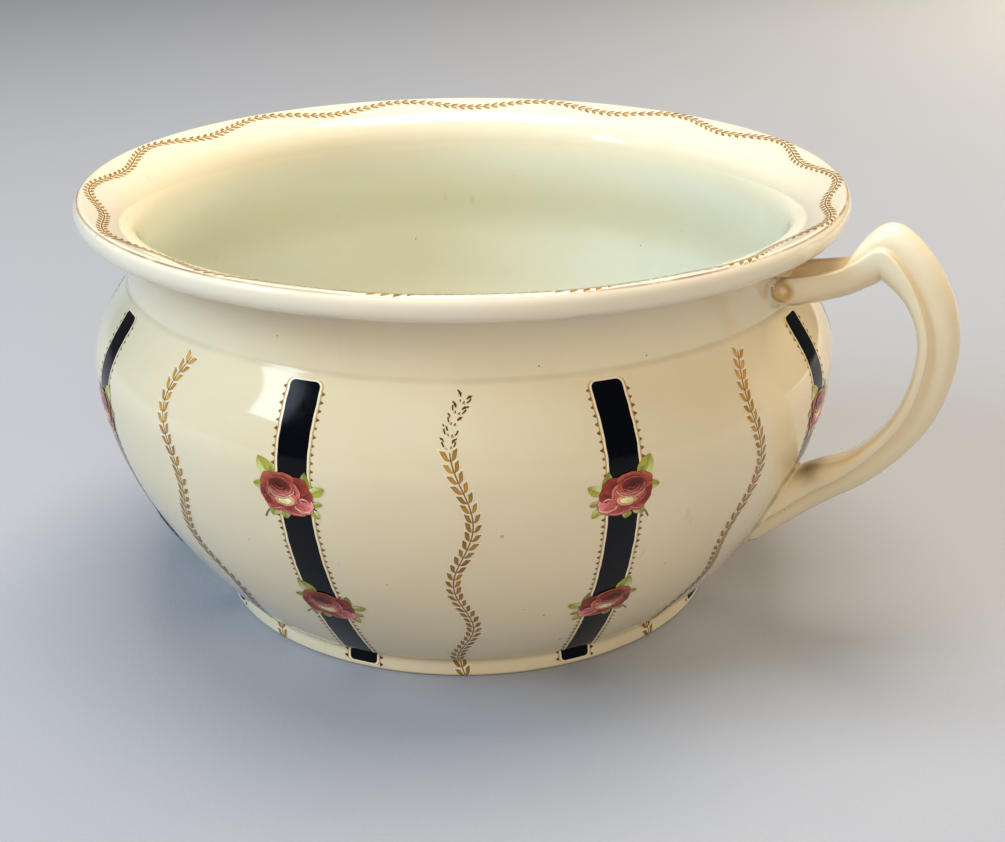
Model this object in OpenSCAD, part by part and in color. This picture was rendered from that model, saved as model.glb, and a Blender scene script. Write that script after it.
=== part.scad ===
// Chamber pot in glazed earthenware: a bellied bowl with a rolled rim and a turned foot,
// an ear-shaped handle luted on under the rim, and printed transfers fired onto the glaze.
// Millimetres. Z is the pot's axis, the foot stands on Z = 0 and the handle lies along +X.

/* [Rim] */
// Outside diameter of the rolled rim
rim_d = 237.8; // [226:0.2:250]
// Height of the rim's crest above the table
rim_h = 131.4; // [126:0.2:140]
// Height of the rolled edge, top to bottom
roll_h = 7; // [5:0.5:8]
// How far the crest lies in from the outer edge
crest_in = 2.4; // [1.5:0.1:4]
// Slope of the lip at the crest, falling inwards
lip_slope = 14; // [10:1:20]

/* [Neck] */
// Outside diameter of the neck at its narrowest
neck_d = 209.4; // [200:0.2:216]
// Height of the narrowest part of the neck
neck_z = 112; // [109:0.5:115]
// Step in from the shoulder line to the neck
neck_step = 0.6; // [0.3:0.1:1.2]

/* [Belly] */
// Diameter of the moulded line on the shoulder
shoulder_d = 211.2; // [206:0.2:218]
// Height of the shoulder line
shoulder_z = 104; // [101:0.5:106]
// Greatest diameter of the belly
belly_d = 234; // [224:0.2:246]
// Height of the greatest diameter
belly_z = 79.4; // [74:0.2:84]
// How quickly the lower belly draws in (higher is fuller)
belly_power = 1.85; // [1.6:0.05:2.2]
// Thickness of the wall
wall = 5; // [4:0.25:6]

/* [Foot] */
// Diameter of the foot ring
foot_d = 162; // [150:0.5:170]
// Height of the foot ring up to its groove
foot_h = 6.4; // [5:0.2:9]
// Width of the ring that stands on the table
foot_w = 7; // [5:0.5:10]
// How far the belly overhangs the groove
foot_overhang = 2.2; // [1:0.2:4]
// Depth of the hollow under the base
base_hollow = 4.6; // [3:0.2:5.5]
// Thickness of the floor
floor_t = 5.6; // [4.5:0.2:8]

/* [Handle] */
// Distance from the pot's axis to the outside of the handle
handle_reach = 156.6; // [150:0.2:166]
// Height of the top of the handle's hump
handle_top = 133.8; // [130:0.2:138]
// Height of the point furthest out
handle_bow_z = 99.7; // [94:0.1:104]
// Height where the upper arm meets the neck
upper_joint_z = 112.4; // [110:0.2:113]
// Height where the middle of the lower arm meets the belly
lower_joint_z = 40; // [36:0.5:46]
// Half the width of the grip
grip_half_w = 8.5; // [7:0.25:10]
// Thickness of the grip on its inner side
grip_in = 5; // [4:0.25:6]
// Height of the rounded rib on its outer side
grip_out = 6.1; // [5:0.25:7]
// Half the width of the upper arm where it spreads on the neck
fork_half_w = 12.8; // [9.5:0.25:15]

/* [Transfers] */
// Number of ribbons round the belly, with a laurel trail between each two
ribbon_count = 8; // [4:1:8]
// Turn of the pattern from the handle
pattern_turn = 1; // [-3:0.25:6]
// Thickness of the ribbon's film of enamel
film_t = 0.25; // [0.2:0.05:0.4]
// Thickness of the roses' enamel, which lies over the ribbon
rose_t = 0.5; // [0.45:0.05:0.8]
// Width of a ribbon
ribbon_w = 9.2; // [7:0.2:11]
// Radius of a ribbon's top corners
ribbon_corner = 1.6; // [1:0.2:2.5]
// Gap between the shoulder line and the ribbons' tops
ribbon_drop = 1.8; // [1:0.2:4]
// Height where the ribbons end on the foot
ribbon_foot_z = 2; // [1.6:0.2:3]
// Mean radius of a rose
rose_r = 7.6; // [6:0.2:8.4]
// Height of the upper roses
upper_rose_z = 73.4; // [71:0.2:76]
// Height of the lower roses
lower_rose_z = 32.6; // [29:0.5:36]
// Distance between two pairs of laurel leaves
leaf_pitch = 3.1; // [2.8:0.1:4]
// Half the width of a laurel across its leaf tips
leaf_half_w = 2; // [1.4:0.1:2.2]
// Sideways swing of a laurel trail
trail_swing = 3.2; // [2:0.2:5]
// Length of one wave of a trail
trail_wave = 45; // [36:1:56]
// Distance down from the shoulder line to a trail's first turn
trail_first = 16.8; // [8:0.2:24]
// Number of waves in the rim's garland
garland_waves = 14; // [10:1:16]
// Turn of the garland from the handle
garland_turn = 16; // [0:0.5:24]
// Half the swing of the garland across the lip
garland_swing = 2.4; // [1:0.1:2.6]
// Distance from the crest to the middle of the garland
garland_in = 4; // [3.6:0.1:6]

/* [Hidden] */
$fn = 180;
rim_r = rim_d / 2;
neck_r = neck_d / 2;
shoulder_r = shoulder_d / 2;
belly_r = belly_d / 2;
foot_r = foot_d / 2;
roll_half = roll_h / 2;
crest_r = rim_r - crest_in;
foot_edge = 0.19 * foot_h;
foot_taper = 0.06 * foot_h;
groove_rise = 0.125 * foot_h;
belly_start_r = foot_r + foot_overhang;
belly_start_z = foot_h + groove_rise;
floor_z = base_hollow + floor_t;
throat_r = neck_r - wall;
ring_in_r = foot_r - foot_w;
// Flat-bottomed strips clear the curve of the glaze under them by this much.
seat = 0.12 * film_t;
lip_seat = 0.48 * film_t;
leaf_rise = film_t;

function num(n) = [for (i = [1:n]) i];
ribbon_ids = num(ribbon_count);
// The first ribbon runs under the handle, whose lower end covers the place of its lower rose.
low_rose_ids = [for (i = ribbon_ids) if (i > 1) i];

glaze_color = [0.93, 0.90, 0.80];
handle_color = [0.92, 0.88, 0.77];
ribbon_color = [0.03, 0.03, 0.05];
rose_color = [0.66, 0.20, 0.20];
laurel_color = [0.66, 0.45, 0.17];

// Curves

function bezier(a, b, c, d, n) = [
    for (i = [0:n])
        let (t = i / n, s = 1 - t)
        a * s * s * s + b * 3 * s * s * t + c * 3 * s * t * t + d * t * t * t
];
function arc(c, rx, rz, from, to, n) = [
    for (i = [0:n])
        let (a = from + (to - from) * i / n)
        [c.x + rx * cos(a), c.y + rz * sin(a)]
];
function reversed(p) = [for (i = [len(p) - 1:-1:0]) p[i]];
function tail(p) = [for (i = [1:len(p) - 1]) p[i]];
function unit(v) = v / norm(v);
// Direction of a flat curve at point i, from its two neighbours
function heading(p, i) = unit(p[min(i + 1, len(p) - 1)] - p[max(i - 1, 0)]);
// The curve moved sideways by d, to the right of its direction
function shifted(p, d) = [
    for (i = [0:len(p) - 1])
        let (h = heading(p, i))
        p[i] + d * [h.y, -h.x]
];
function lengths(p, i = 0, sum = 0, out = []) =
    i >= len(p) ? out
    : let (s = i == 0 ? 0 : sum + norm(p[i] - p[i - 1]))
      lengths(p, i + 1, s, concat(out, [s]));

// The pot's profile, as [radius, height], from the foot up the outside

foot_outside = concat(
    arc([foot_r - foot_edge, foot_edge], foot_edge, foot_edge, -90, 0, 4),
    [[foot_r - foot_taper, foot_h - groove_rise]]
);
function belly_low_at(u) = [
    belly_r - (belly_r - belly_start_r) * pow(u, belly_power),
    belly_z - (belly_z - belly_start_z) * u
];
belly_low_steps = 18;
belly_low = [for (i = [0:belly_low_steps]) belly_low_at(1 - i / belly_low_steps)];
belly_rise = 0.43 * (shoulder_z - belly_z);
shoulder_pull = [0.34 * (belly_r - shoulder_r), 0.285 * (shoulder_z - belly_z)];
belly_high = bezier(
    [belly_r, belly_z],
    [belly_r, belly_z + belly_rise],
    [shoulder_r + shoulder_pull.x, shoulder_z - shoulder_pull.y],
    [shoulder_r, shoulder_z],
    12
);
roll_z = rim_h - roll_half;
roll_under_r = crest_r - 1.67 * crest_in;
neck_foot = [shoulder_r - neck_step, shoulder_z + neck_step];
neck_pull = neck_z - neck_foot.y;
neck = bezier(
    neck_foot,
    [neck_r - neck_step, neck_foot.y + 0.8 * neck_pull],
    [neck_r - neck_step, roll_z - 1.15 * roll_half],
    [roll_under_r, roll_z - roll_half],
    12
);
belly_outside = concat(foot_outside, belly_low, tail(belly_high));
roll = arc([crest_r, roll_z], crest_in, roll_half, -90, 90 + lip_slope * 0.75, 12);
outside = concat(belly_outside, neck, roll);

// The lip falls inwards from the crest, and turns down into the throat.
lip_start = roll[len(roll) - 1];
lip_run = 0.11 * rim_r;
lip = bezier(
    lip_start,
    lip_start - lip_run * [1, tan(lip_slope)],
    [throat_r, neck_z + 0.62 * (rim_h - neck_z)],
    [throat_r, neck_z],
    12
);
inside_high = bezier(
    [throat_r, neck_z],
    [throat_r, neck_z - 0.4 * (neck_z - belly_z)],
    [belly_r - wall, belly_z + 0.34 * (neck_z - belly_z)],
    [belly_r - wall, belly_z],
    12
);
inside_low_steps = 12;
inside_low_end = 0.84;
outer_low = [
    for (i = [0:inside_low_steps]) belly_low_at(inside_low_end * i / inside_low_steps)
];
inside_low = shifted(outer_low, wall);
floor_turn = inside_low[inside_low_steps];
floor_heading = heading(inside_low, inside_low_steps);
floor_r = 0.65 * foot_r;
floor_curve = bezier(
    floor_turn,
    floor_turn + floor_heading * 1.25 * (floor_turn.y - floor_z),
    [0.5 * (floor_r + floor_turn.x), floor_z],
    [floor_r, floor_z],
    8
);
inside = concat(tail(lip), tail(inside_high), tail(inside_low), tail(floor_curve), [[0, floor_z]]);
hollow_draft = 0.33 * base_hollow;
underside = [
    [0, base_hollow],
    [ring_in_r - hollow_draft, base_hollow],
    [ring_in_r, foot_edge],
    [ring_in_r + foot_edge, 0]
];

// Places on the glaze. A place is a distance s along a profile line and a bearing round the axis.

function glaze_line(p) =
    let (s = lengths(p))
    [
        [for (i = [0:len(p) - 1]) [s[i], p[i].x]],
        [for (i = [0:len(p) - 1]) [s[i], p[i].y]],
        s[len(s) - 1]
    ];
function line_at(line, s) = [lookup(s, line[0]), lookup(s, line[1])];
normal_step = 0.13 * leaf_pitch;
// Point on the glaze, v mm to the side of the bearing and h mm proud of it
function on_glaze(line, s, v, bearing, h) =
    let (
        p = line_at(line, s),
        d = unit(line_at(line, s + normal_step) - line_at(line, s - normal_step)),
        q = p + h * [-d.y, d.x],
        a = bearing + v / p.x * 180 / PI
    )
    [q.x * cos(a), q.x * sin(a), q.y];

// A laurel is one strip with a low ridge and saw-toothed edges. Each leaf pair is three rows of
// [share of the pitch ahead of its base, share of the half width].
leaf_rows = [[0.94, 1], [0.42, 0.76], [0, 0.16]];

// A row of the strip across place c: both edges on the glaze, and the ridge proud of it
function laurel_row(line, c, dir, half, bearing) =
    let (side = half * [-dir.y, dir.x])
    [
        for (k = [[-1, seat], [0, leaf_rise], [1, seat]])
            let (q = c + k[0] * side)
            on_glaze(line, q.x, q.y, bearing, k[1])
    ];

// Faces between row i and row j of a strip whose rows have three points each
function strip_faces(i, j) = [
    for (k = [0:2])
        let (a = 3 * i + k, b = 3 * i + (k + 1) % 3, c = 3 * j + k, d = 3 * j + (k + 1) % 3)
        each [[a, b, c], [b, d, c]]
];

// Clay

module bowl() {
    color(glaze_color)
        rotate_extrude()
            polygon(concat(underside, outside, inside));
}

module bowl_mass() {
    rotate_extrude()
        polygon(concat([[0, 0]], outside, [[0, lip_start.y]]));
}

// The handle is lofted through stations from the neck, over the hump and round to the belly.
// A station is [distance from the axis, height, half width, inner thickness, side ridge, crown].
belly_line = [for (p = belly_low) [p.y, p.x]];
upper_r = neck_r;
lower_r = lookup(lower_joint_z, belly_line);
bow_r = handle_reach - grip_out;
hump_crown = 1.08 * grip_out;
hump_z = handle_top - hump_crown;
upper_span = bow_r - upper_r;
lower_span = bow_r - lower_r;
hump_rise = hump_z - upper_joint_z;
bow_drop = hump_z - handle_bow_z;
low_rise = handle_bow_z - lower_joint_z;
arm_ridge = 0.56 * grip_out;
arm_crown = 0.2 * grip_out;
stations = [
    [upper_r - 0.8 * wall, upper_joint_z, fork_half_w, 1.24 * grip_in, arm_ridge, arm_crown],
    [upper_r + 0.105 * upper_span, upper_joint_z + 0.058 * hump_rise,
        mix(fork_half_w, grip_half_w, 0.3), 1.3 * grip_in, arm_ridge, arm_crown],
    [upper_r + 0.38 * upper_span, upper_joint_z + 0.3 * hump_rise,
        mix(fork_half_w, grip_half_w, 0.8), 1.16 * grip_in, 0.5 * grip_out, 0.26 * grip_out],
    [upper_r + 0.5 * upper_span, upper_joint_z + 0.61 * hump_rise,
        grip_half_w, 1.4 * grip_in, 0.3 * grip_out, 0.75 * grip_out],
    [upper_r + 0.665 * upper_span, hump_z, grip_half_w, 1.28 * grip_in, 0.05 * grip_out, hump_crown],
    [upper_r + 0.9 * upper_span, hump_z - 0.425 * bow_drop,
        grip_half_w, 1.22 * grip_in, -0.12 * grip_out, 1.03 * grip_out],
    [bow_r, handle_bow_z, grip_half_w, grip_in, -0.16 * grip_out, grip_out],
    [lower_r + 0.9 * lower_span, lower_joint_z + 0.648 * low_rise,
        grip_half_w, 0.97 * grip_in, -0.16 * grip_out, 0.95 * grip_out],
    [lower_r + 0.608 * lower_span, lower_joint_z + 0.348 * low_rise,
        grip_half_w, 0.98 * grip_in, -0.16 * grip_out, 0.9 * grip_out],
    [lower_r + 0.26 * lower_span, lower_joint_z + 0.14 * low_rise,
        1.02 * grip_half_w, 1.6 * grip_in, -0.1 * grip_out, 0.85 * grip_out],
    [lower_r - 1.4 * wall, lower_joint_z - 0.137 * low_rise,
        1.1 * grip_half_w, 2 * grip_in, 0, 0.79 * grip_out]
];
function mix(a, b, t) = a + (b - a) * t;
// Smooth curve through rows of values
function through(p, i, t) =
    let (
        a = p[max(i - 1, 0)],
        b = p[i],
        c = p[i + 1],
        d = p[min(i + 2, len(p) - 1)]
    )
    0.5 * (2 * b + (c - a) * t + (2 * a - 5 * b + 4 * c - d) * t * t
        + (3 * b - a - 3 * c + d) * t * t * t);
station_steps = 5;
spine = concat(
    [
        for (i = [0:len(stations) - 2], k = [0:station_steps - 1])
            through(stations, i, k / station_steps)
    ],
    [stations[len(stations) - 1]]
);
// Half of the handle's section, as [out, side]: inner face, flank, side ridge, groove, rounded rib
groove_depth = 0.04 * grip_half_w;
edge_drop = 0.14 * grip_half_w;
function half_section(w, t_in, ridge, crown) =
    let (flank = ridge - edge_drop, round = 0.78, rib_w = 0.68 * w, rib_foot = ridge + groove_depth)
    concat(
        [
            for (a = [0, 22, 42, 58, 74, 90])
                [flank - (t_in + flank) * pow(cos(a), round), w * pow(sin(a), round)]
        ],
        [
            [ridge - 0.2 * edge_drop, 0.985 * w],
            [ridge, 0.93 * w],
            [ridge - groove_depth / 2, 0.84 * w],
            [ridge - groove_depth, 0.76 * w]
        ],
        [for (a = [0, 20, 40, 62, 90]) [rib_foot + (crown - rib_foot) * sin(a), rib_w * cos(a)]]
    );
function section(st) =
    let (h = half_section(st[2], st[3], st[4], st[5]), n = len(h))
    concat(h, [for (i = [n - 2:-1:1]) [h[i].x, -h[i].y]]);
function flat(rows) = [for (r = rows) [r[0], r[1]]];
spine_line = flat(spine);
function section_ring(i) =
    let (d = heading(spine_line, i), out = [-d.y, d.x])
    [
        for (q = section(spine[i]))
            let (p = spine_line[i] + q.x * out)
            [p.x, q.y, p.y]
    ];

module handle_loft() {
    rings = [for (i = [0:len(spine) - 1]) section_ring(i)];
    n = len(rings);
    m = len(rings[0]);
    polyhedron(
        points = [for (r = rings) each r],
        faces = concat(
            [[for (k = [0:m - 1]) k]],
            [
                for (i = [0:n - 2], k = [0:m - 1])
                    let (a = i * m + k, b = i * m + (k + 1) % m)
                    each [[a, a + m, b], [b, a + m, b + m]]
            ],
            [[for (k = [m - 1:-1:0]) (n - 1) * m + k]]
        )
    );
}

module handle() {
    color(handle_color)
        difference() {
            handle_loft();
            bowl_mass();
        }
}

// Transfers

// The transfers were laid by hand. These say how far each one is from its even place:
// ribbons and trails in degrees round the belly, the ribbons' lean in degrees, the roses in mm.
ribbon_slip = [0, 1.3, 2.6, 3.9, 5.2, 6.4, 4.2, 3.6];
ribbon_lean = [0.8, -0.5, 0.9, -0.7, 0.4, 0.3, 0, 2.8];
trail_slip = [-0.6, 0.5, -0.4, 0.6, 0.3, -0.4, 0.2, 1.9];
rose_slip = [2.6, 0.8, -1, 1.2, -0.6, -2.2, -1.9, 0];
function laid(list, i) = list[(i - 1) % ribbon_count];
function bearing(i) = pattern_turn + (i - 1) * 360 / ribbon_count + laid(ribbon_slip, i);
function trail_bearing(i) = (bearing(i) + bearing(i + 1)) / 2 + laid(trail_slip, i);

// A skin of enamel over the outside of the belly and foot, from one depth to another
skin = [for (p = belly_outside) if (p.y >= foot_edge) p];
module film(from, to) {
    rotate_extrude()
        polygon(concat(shifted(skin, from), reversed(shifted(skin, to))));
}

// A flat outline, [across, height], carried through the glaze at a bearing
glaze_reach = belly_r + 2 * rose_t;
lean_z = (shoulder_z + foot_h) / 2;
module through_glaze(i) {
    rotate([0, 0, bearing(i)])
        rotate([90, 0, 90])
            linear_extrude(glaze_reach)
                translate([0, lean_z])
                    rotate(laid(ribbon_lean, i))
                        translate([0, -lean_z])
                            children();
}

// The ribbon's own outline, with rounded corners at the top only
module ribbon_outline(low, high) {
    straight_h = high - low - ribbon_corner;
    inner_w = ribbon_w - 2 * ribbon_corner;
    translate([-ribbon_w / 2, low])
        square([ribbon_w, straight_h]);
    translate([-inner_w / 2, low])
        square([inner_w, straight_h + ribbon_corner]);
    for (side = [-1, 1])
        translate([side * inner_w / 2, low + straight_h])
            circle(ribbon_corner);
}
ribbon_top_z = shoulder_z - ribbon_drop;
// Stretch of the first ribbon that the handle's lower end covers. It reaches up at least to where
// the inner side of the handle's lower arm is clear of the enamel.
arm_start = search([bow_r], stations)[0] * station_steps;
arm_inside = [for (i = [arm_start:len(spine) - 1]) section_ring(i)[0]];
arm_clear_z = lookup(2 * film_t, [for (p = arm_inside) [p.x - lookup(p.z, belly_line), p.z]]);
covered_low = lower_joint_z - 0.2 * low_rise;
covered_high = max(arm_clear_z, lower_joint_z + 0.28 * low_rise);
function ribbon_low(i) = i == 1 ? covered_high : ribbon_foot_z;

module ribbon(i) {
    color(ribbon_color)
        intersection() {
            film(0, film_t);
            through_glaze(i)
                ribbon_outline(ribbon_low(i), ribbon_top_z);
        }
}

// The first ribbon comes out again below the handle.
module ribbon_end() {
    color(ribbon_color)
        intersection() {
            film(0, film_t);
            through_glaze(1)
                translate([-ribbon_w / 2, ribbon_foot_z])
                    square([ribbon_w, covered_low - ribbon_foot_z]);
        }
}

// A rose with five shallow lobes and five leaves, each [bearing, length beyond the rose]
spray_leaves = [[30, 0.55], [150, 0.55], [186, 0.4], [228, 0.45], [336, 0.5]];
leaf_spread = 14;
spray_step = 6;
function off_bearing(a, b) = abs((a - b + 540) % 360 - 180);
function leaf_growth(a) = max([
    for (leaf = spray_leaves) leaf[1] * pow(max(0, 1 - off_bearing(a, leaf[0]) / leaf_spread), 0.7)
]);
function rose_growth(a) = 1 + 0.05 * sin(5 * a) + 0.03 * cos(3 * a);
function hand(i) = i % 2 == 0 ? -1 : 1;
module spray_outline(i, aside, z, turn) {
    translate([aside, z])
        rotate(turn * hand(i))
            polygon([
                for (a = [0:spray_step:360 - spray_step])
                    let (r = rose_r * (rose_growth(a) + leaf_growth(a)))
                    [1.1 * r * cos(a) * hand(i), 0.93 * r * sin(a)]
            ]);
}
lower_turn = -10;
// The enamel of a spray, with a bed left on its inner side for the ribbon
module spray(i, aside, z, turn) {
    color(rose_color)
        difference() {
            intersection() {
                film(0, rose_t);
                through_glaze(i)
                    spray_outline(i, aside, z, turn);
            }
            intersection() {
                film(-film_t, film_t);
                through_glaze(i)
                    ribbon_outline(ribbon_low(i), ribbon_top_z);
            }
        }
}
module upper_rose(i) {
    spray(i, laid(rose_slip, i), upper_rose_z, 0);
}
module lower_rose(i) {
    spray(i, -0.5 * laid(rose_slip, i), lower_rose_z, lower_turn);
}

// A trail runs from under the shoulder line to the foot, its leaves pointing up.
trail_line = glaze_line(reversed(skin));
trail_margin = 1.03 * leaf_pitch;
trail_foot_margin = 0.13 * leaf_pitch;
trail_pairs = floor((trail_line[2] - trail_margin - trail_foot_margin) / leaf_pitch);
function trail_place(s) = [s, -trail_swing * cos(360 * (s - trail_first) / trail_wave)];
trail_rows = [
    for (i = [1:trail_pairs], row = leaf_rows)
        [trail_place(trail_margin + (i - row[0]) * leaf_pitch), row[1] * leaf_half_w]
];
trail_places = [for (row = trail_rows) row[0]];
module laurel_trail(i) {
    rows = [
        for (k = [0:len(trail_rows) - 1])
            laurel_row(trail_line, trail_places[k], heading(trail_places, k),
                trail_rows[k][1], trail_bearing(i))
    ];
    n = len(rows);
    color(laurel_color)
        polyhedron(
            points = [for (row = rows) each row],
            faces = concat(
                [[2, 1, 0]],
                [for (k = [0:n - 2]) each strip_faces(k, k + 1)],
                [[3 * n - 3, 3 * n - 2, 3 * n - 1]]
            )
        );
}

// The garland is a closed strip round the lip, on a line that runs up from the throat to the crest.
lip_edge = roll[len(roll) - 2];
lip_line = glaze_line(concat(reversed(lip), [lip_edge]));
garland_mid = lip_line[2] - norm(lip_start - lip_edge) - garland_in;
garland_r = line_at(lip_line, garland_mid).x;
garland_pairs = floor(2 * PI * garland_r / leaf_pitch);
garland_step = 360 / garland_pairs;
degree_run = garland_r * PI / 180;
// Its waves are laid by hand: they lead the even spacing on one side, and lag behind on the other.
garland_lead = 4.2;
garland_lead_at = -118;
function garland_wave(a) =
    garland_waves * (a - garland_turn - garland_lead * cos(a - garland_lead_at));
function garland_place(a) = [
    garland_mid - garland_swing * cos(garland_wave(a)),
    a * degree_run
];
garland_rows = [
    for (i = [1:garland_pairs], row = leaf_rows)
        [(i - row[0]) * garland_step, row[1] * leaf_half_w * 0.75]
];
// How far the lip bulges above a straight line across it, from d before place s to d after it
function lip_sag(s, d) =
    norm(line_at(lip_line, s) - (line_at(lip_line, s - d) + line_at(lip_line, s + d)) / 2);
module rim_garland() {
    n = len(garland_rows);
    rows = [
        for (row = garland_rows)
            let (
                c = garland_place(row[0]),
                dir = unit(garland_place(row[0] + 0.2) - garland_place(row[0] - 0.2)),
                lift = max(lip_seat, seat + lip_sag(c.x, row[1] * dir.y))
            )
            [
                for (k = [[-1, lift], [0, lift + leaf_rise], [1, lift]])
                    let (side = k[0] * row[1] * [-dir.y, dir.x])
                    on_glaze(lip_line, c.x + side.x, side.y, row[0], k[1])
            ]
    ];
    color(laurel_color)
        polyhedron(
            points = [for (row = rows) each row],
            faces = [for (k = [0:n - 1]) each strip_faces(k, (k + 1) % n)]
        );
}

bowl();
handle();
rim_garland();
for (i = ribbon_ids)
    ribbon(i);
ribbon_end();
for (i = ribbon_ids)
    upper_rose(i);
for (i = low_rose_ids)
    lower_rose(i);
for (i = ribbon_ids)
    laurel_trail(i);
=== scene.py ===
import math

import bpy
import numpy as np
from mathutils import Matrix, Vector


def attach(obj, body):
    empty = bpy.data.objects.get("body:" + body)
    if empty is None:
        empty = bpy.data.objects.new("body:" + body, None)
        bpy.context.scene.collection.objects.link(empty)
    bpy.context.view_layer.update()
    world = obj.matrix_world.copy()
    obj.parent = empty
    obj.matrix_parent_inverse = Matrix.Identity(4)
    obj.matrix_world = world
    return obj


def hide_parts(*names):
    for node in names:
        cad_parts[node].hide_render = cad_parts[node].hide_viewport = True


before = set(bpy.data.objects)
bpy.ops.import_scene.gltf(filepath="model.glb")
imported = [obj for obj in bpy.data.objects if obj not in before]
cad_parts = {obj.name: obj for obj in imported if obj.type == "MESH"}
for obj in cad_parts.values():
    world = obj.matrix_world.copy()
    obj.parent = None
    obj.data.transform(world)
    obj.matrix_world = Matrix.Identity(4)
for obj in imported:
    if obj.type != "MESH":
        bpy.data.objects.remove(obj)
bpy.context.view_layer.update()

bl_info = {
    "name": "Chamber Pot",
    "version": (1, 0, 0),
    "blender": (4, 2, 0),
    "location": "View3D > Sidebar > Pot",
    "description": "Builds a glazed chamber pot with printed ribbons, roses and laurel trails",
    "category": "Object",
}

MM = 0.001
RIPPLE_DEPTH = 0.0016
GLAZE_IOR = 1.52
COAT_ROUGHNESS = 0.03


def length(name, description, default):
    return bpy.props.FloatProperty(
        name=name, description=description, default=default, unit="LENGTH", precision=5
    )


def angle(name, description, degrees):
    return bpy.props.FloatProperty(
        name=name, description=description, default=math.radians(degrees), subtype="ANGLE"
    )


def offsets(name, description, default, unit):
    return bpy.props.FloatVectorProperty(
        name=name, description=description, size=len(default), default=default, unit=unit, precision=5
    )


class PotSizes(bpy.types.PropertyGroup):
    rim_radius: length("Rim radius", "Outside radius of the rolled rim", 0.1189)
    rim_height: length("Rim height", "Height of the rim's crest", 0.1314)
    roll_half: length("Roll half height", "Half the height of the rolled edge", 0.0035)
    crest_in: length("Crest inset", "How far the crest lies in from the rim's edge", 0.0024)
    lip_slope: angle("Lip slope", "Slope of the lip at the crest, falling inwards", 14)
    neck_radius: length("Neck radius", "Outside radius of the neck", 0.1047)
    neck_height: length("Neck height", "Height of the narrowest part of the neck", 0.112)
    neck_step: length("Neck step", "Step in from the shoulder line to the neck", 0.0006)
    shoulder_radius: length("Shoulder radius", "Radius of the moulded shoulder line", 0.1056)
    shoulder_height: length("Shoulder height", "Height of the shoulder line", 0.104)
    belly_radius: length("Belly radius", "Greatest radius of the belly", 0.117)
    belly_height: length("Belly height", "Height of the greatest radius", 0.0794)
    foot_radius: length("Foot radius", "Outside radius of the foot ring", 0.081)
    foot_height: length("Foot height", "Height of the foot ring", 0.0064)
    foot_width: length("Foot width", "Width of the ring that stands on the table", 0.007)
    hollow: length("Base hollow", "Depth of the hollow under the base", 0.0046)
    floor: length("Floor height", "Height of the inside floor", 0.0102)
    wall: length("Wall", "Thickness of the wall", 0.005)
    segments: bpy.props.IntProperty(
        name="Segments", description="Steps round the pot", default=256, min=64, max=512
    )


class HandleSizes(bpy.types.PropertyGroup):
    reach: length("Reach", "From the pot's axis to the outside of the handle", 0.1566)
    top: length("Top", "Height of the hump", 0.1338)
    bow: length("Bow height", "Height of the point furthest out", 0.0997)
    upper_joint: length("Upper joint", "Height where the upper arm meets the neck", 0.1124)
    lower_joint: length("Lower joint", "Height where the lower arm meets the belly", 0.040)
    half_width: length("Half width", "Half the width of the grip", 0.0085)
    fork_half_width: length("Fork half width", "Half the width of the arm on the neck", 0.0128)
    inner: length("Inner thickness", "Thickness on the inner side", 0.005)
    outer: length("Outer thickness", "Height of the rounded rib on the outer side", 0.0061)
    fillet: length("Fillet", "Size of the luted seam round both ends", 0.0026)


class TransferSizes(bpy.types.PropertyGroup):
    count: bpy.props.IntProperty(
        name="Ribbons", description="Number of ribbons round the belly", default=8, min=4, max=12
    )
    turn: angle("Turn", "Bearing of the first ribbon from the handle", 1)
    ribbon_slip: offsets(
        "Ribbon slip", "How far round each ribbon was laid from its even place",
        np.radians((0, 1.3, 2.6, 3.9, 5.2, 6.4, 4.2, 3.6)), "ROTATION"
    )
    ribbon_lean: offsets(
        "Ribbon lean", "How far each ribbon leans",
        np.radians((0.8, -0.5, 0.9, -0.7, 0.4, 0.3, 0, 2.8)), "ROTATION"
    )
    trail_slip: offsets(
        "Trail slip", "How far round each trail was laid from midway between two ribbons",
        np.radians((-0.6, 0.5, -0.4, 0.6, 0.3, -0.4, 0.2, 1.9)), "ROTATION"
    )
    rose_slip: offsets(
        "Rose slip", "How far beside its ribbon each upper rose was laid",
        (0.0026, 0.0008, -0.001, 0.0012, -0.0006, -0.0022, -0.0019, 0), "LENGTH"
    )
    ribbon_half: length("Ribbon half width", "Half the width of a ribbon", 0.0044)
    line_width: length("Line width", "Width of the pale line along a ribbon", 0.0006)
    bead_pitch: length("Bead pitch", "Distance between two beads beside a ribbon", 0.0023)
    upper_rose: length("Upper rose", "Height of the upper roses", 0.0734)
    lower_rose: length("Lower rose", "Height of the lower roses", 0.0326)
    rose_radius: length("Rose radius", "Mean radius of a rose", 0.0076)
    leaf_pitch: length("Leaf pitch", "Distance between two pairs of laurel leaves", 0.0031)
    trail_swing: length("Trail swing", "Sideways swing of a laurel trail", 0.0032)
    trail_wave: length("Trail wave", "Length of one wave of a trail", 0.045)
    garland_waves: bpy.props.IntProperty(
        name="Garland waves", description="Waves in the garland round the lip", default=14
    )
    garland_in: length("Garland inset", "From the crest to the middle of the garland", 0.0034)
    garland_swing: length("Garland swing", "Half the swing of the garland", 0.0024)
    garland_turn: angle("Garland turn", "Turn of the garland from the handle", 16)
    garland_lead: angle("Garland lead", "How far its waves lead and lag the even spacing", 4.2)
    garland_lead_at: angle("Garland lead bearing", "Bearing where its waves lead the most", -118)
    garland_off: length("Garland off centre", "How far off centre it was laid", 0.0009)
    garland_off_at: angle("Garland off bearing", "Bearing of the side it was laid towards", -30)


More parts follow.
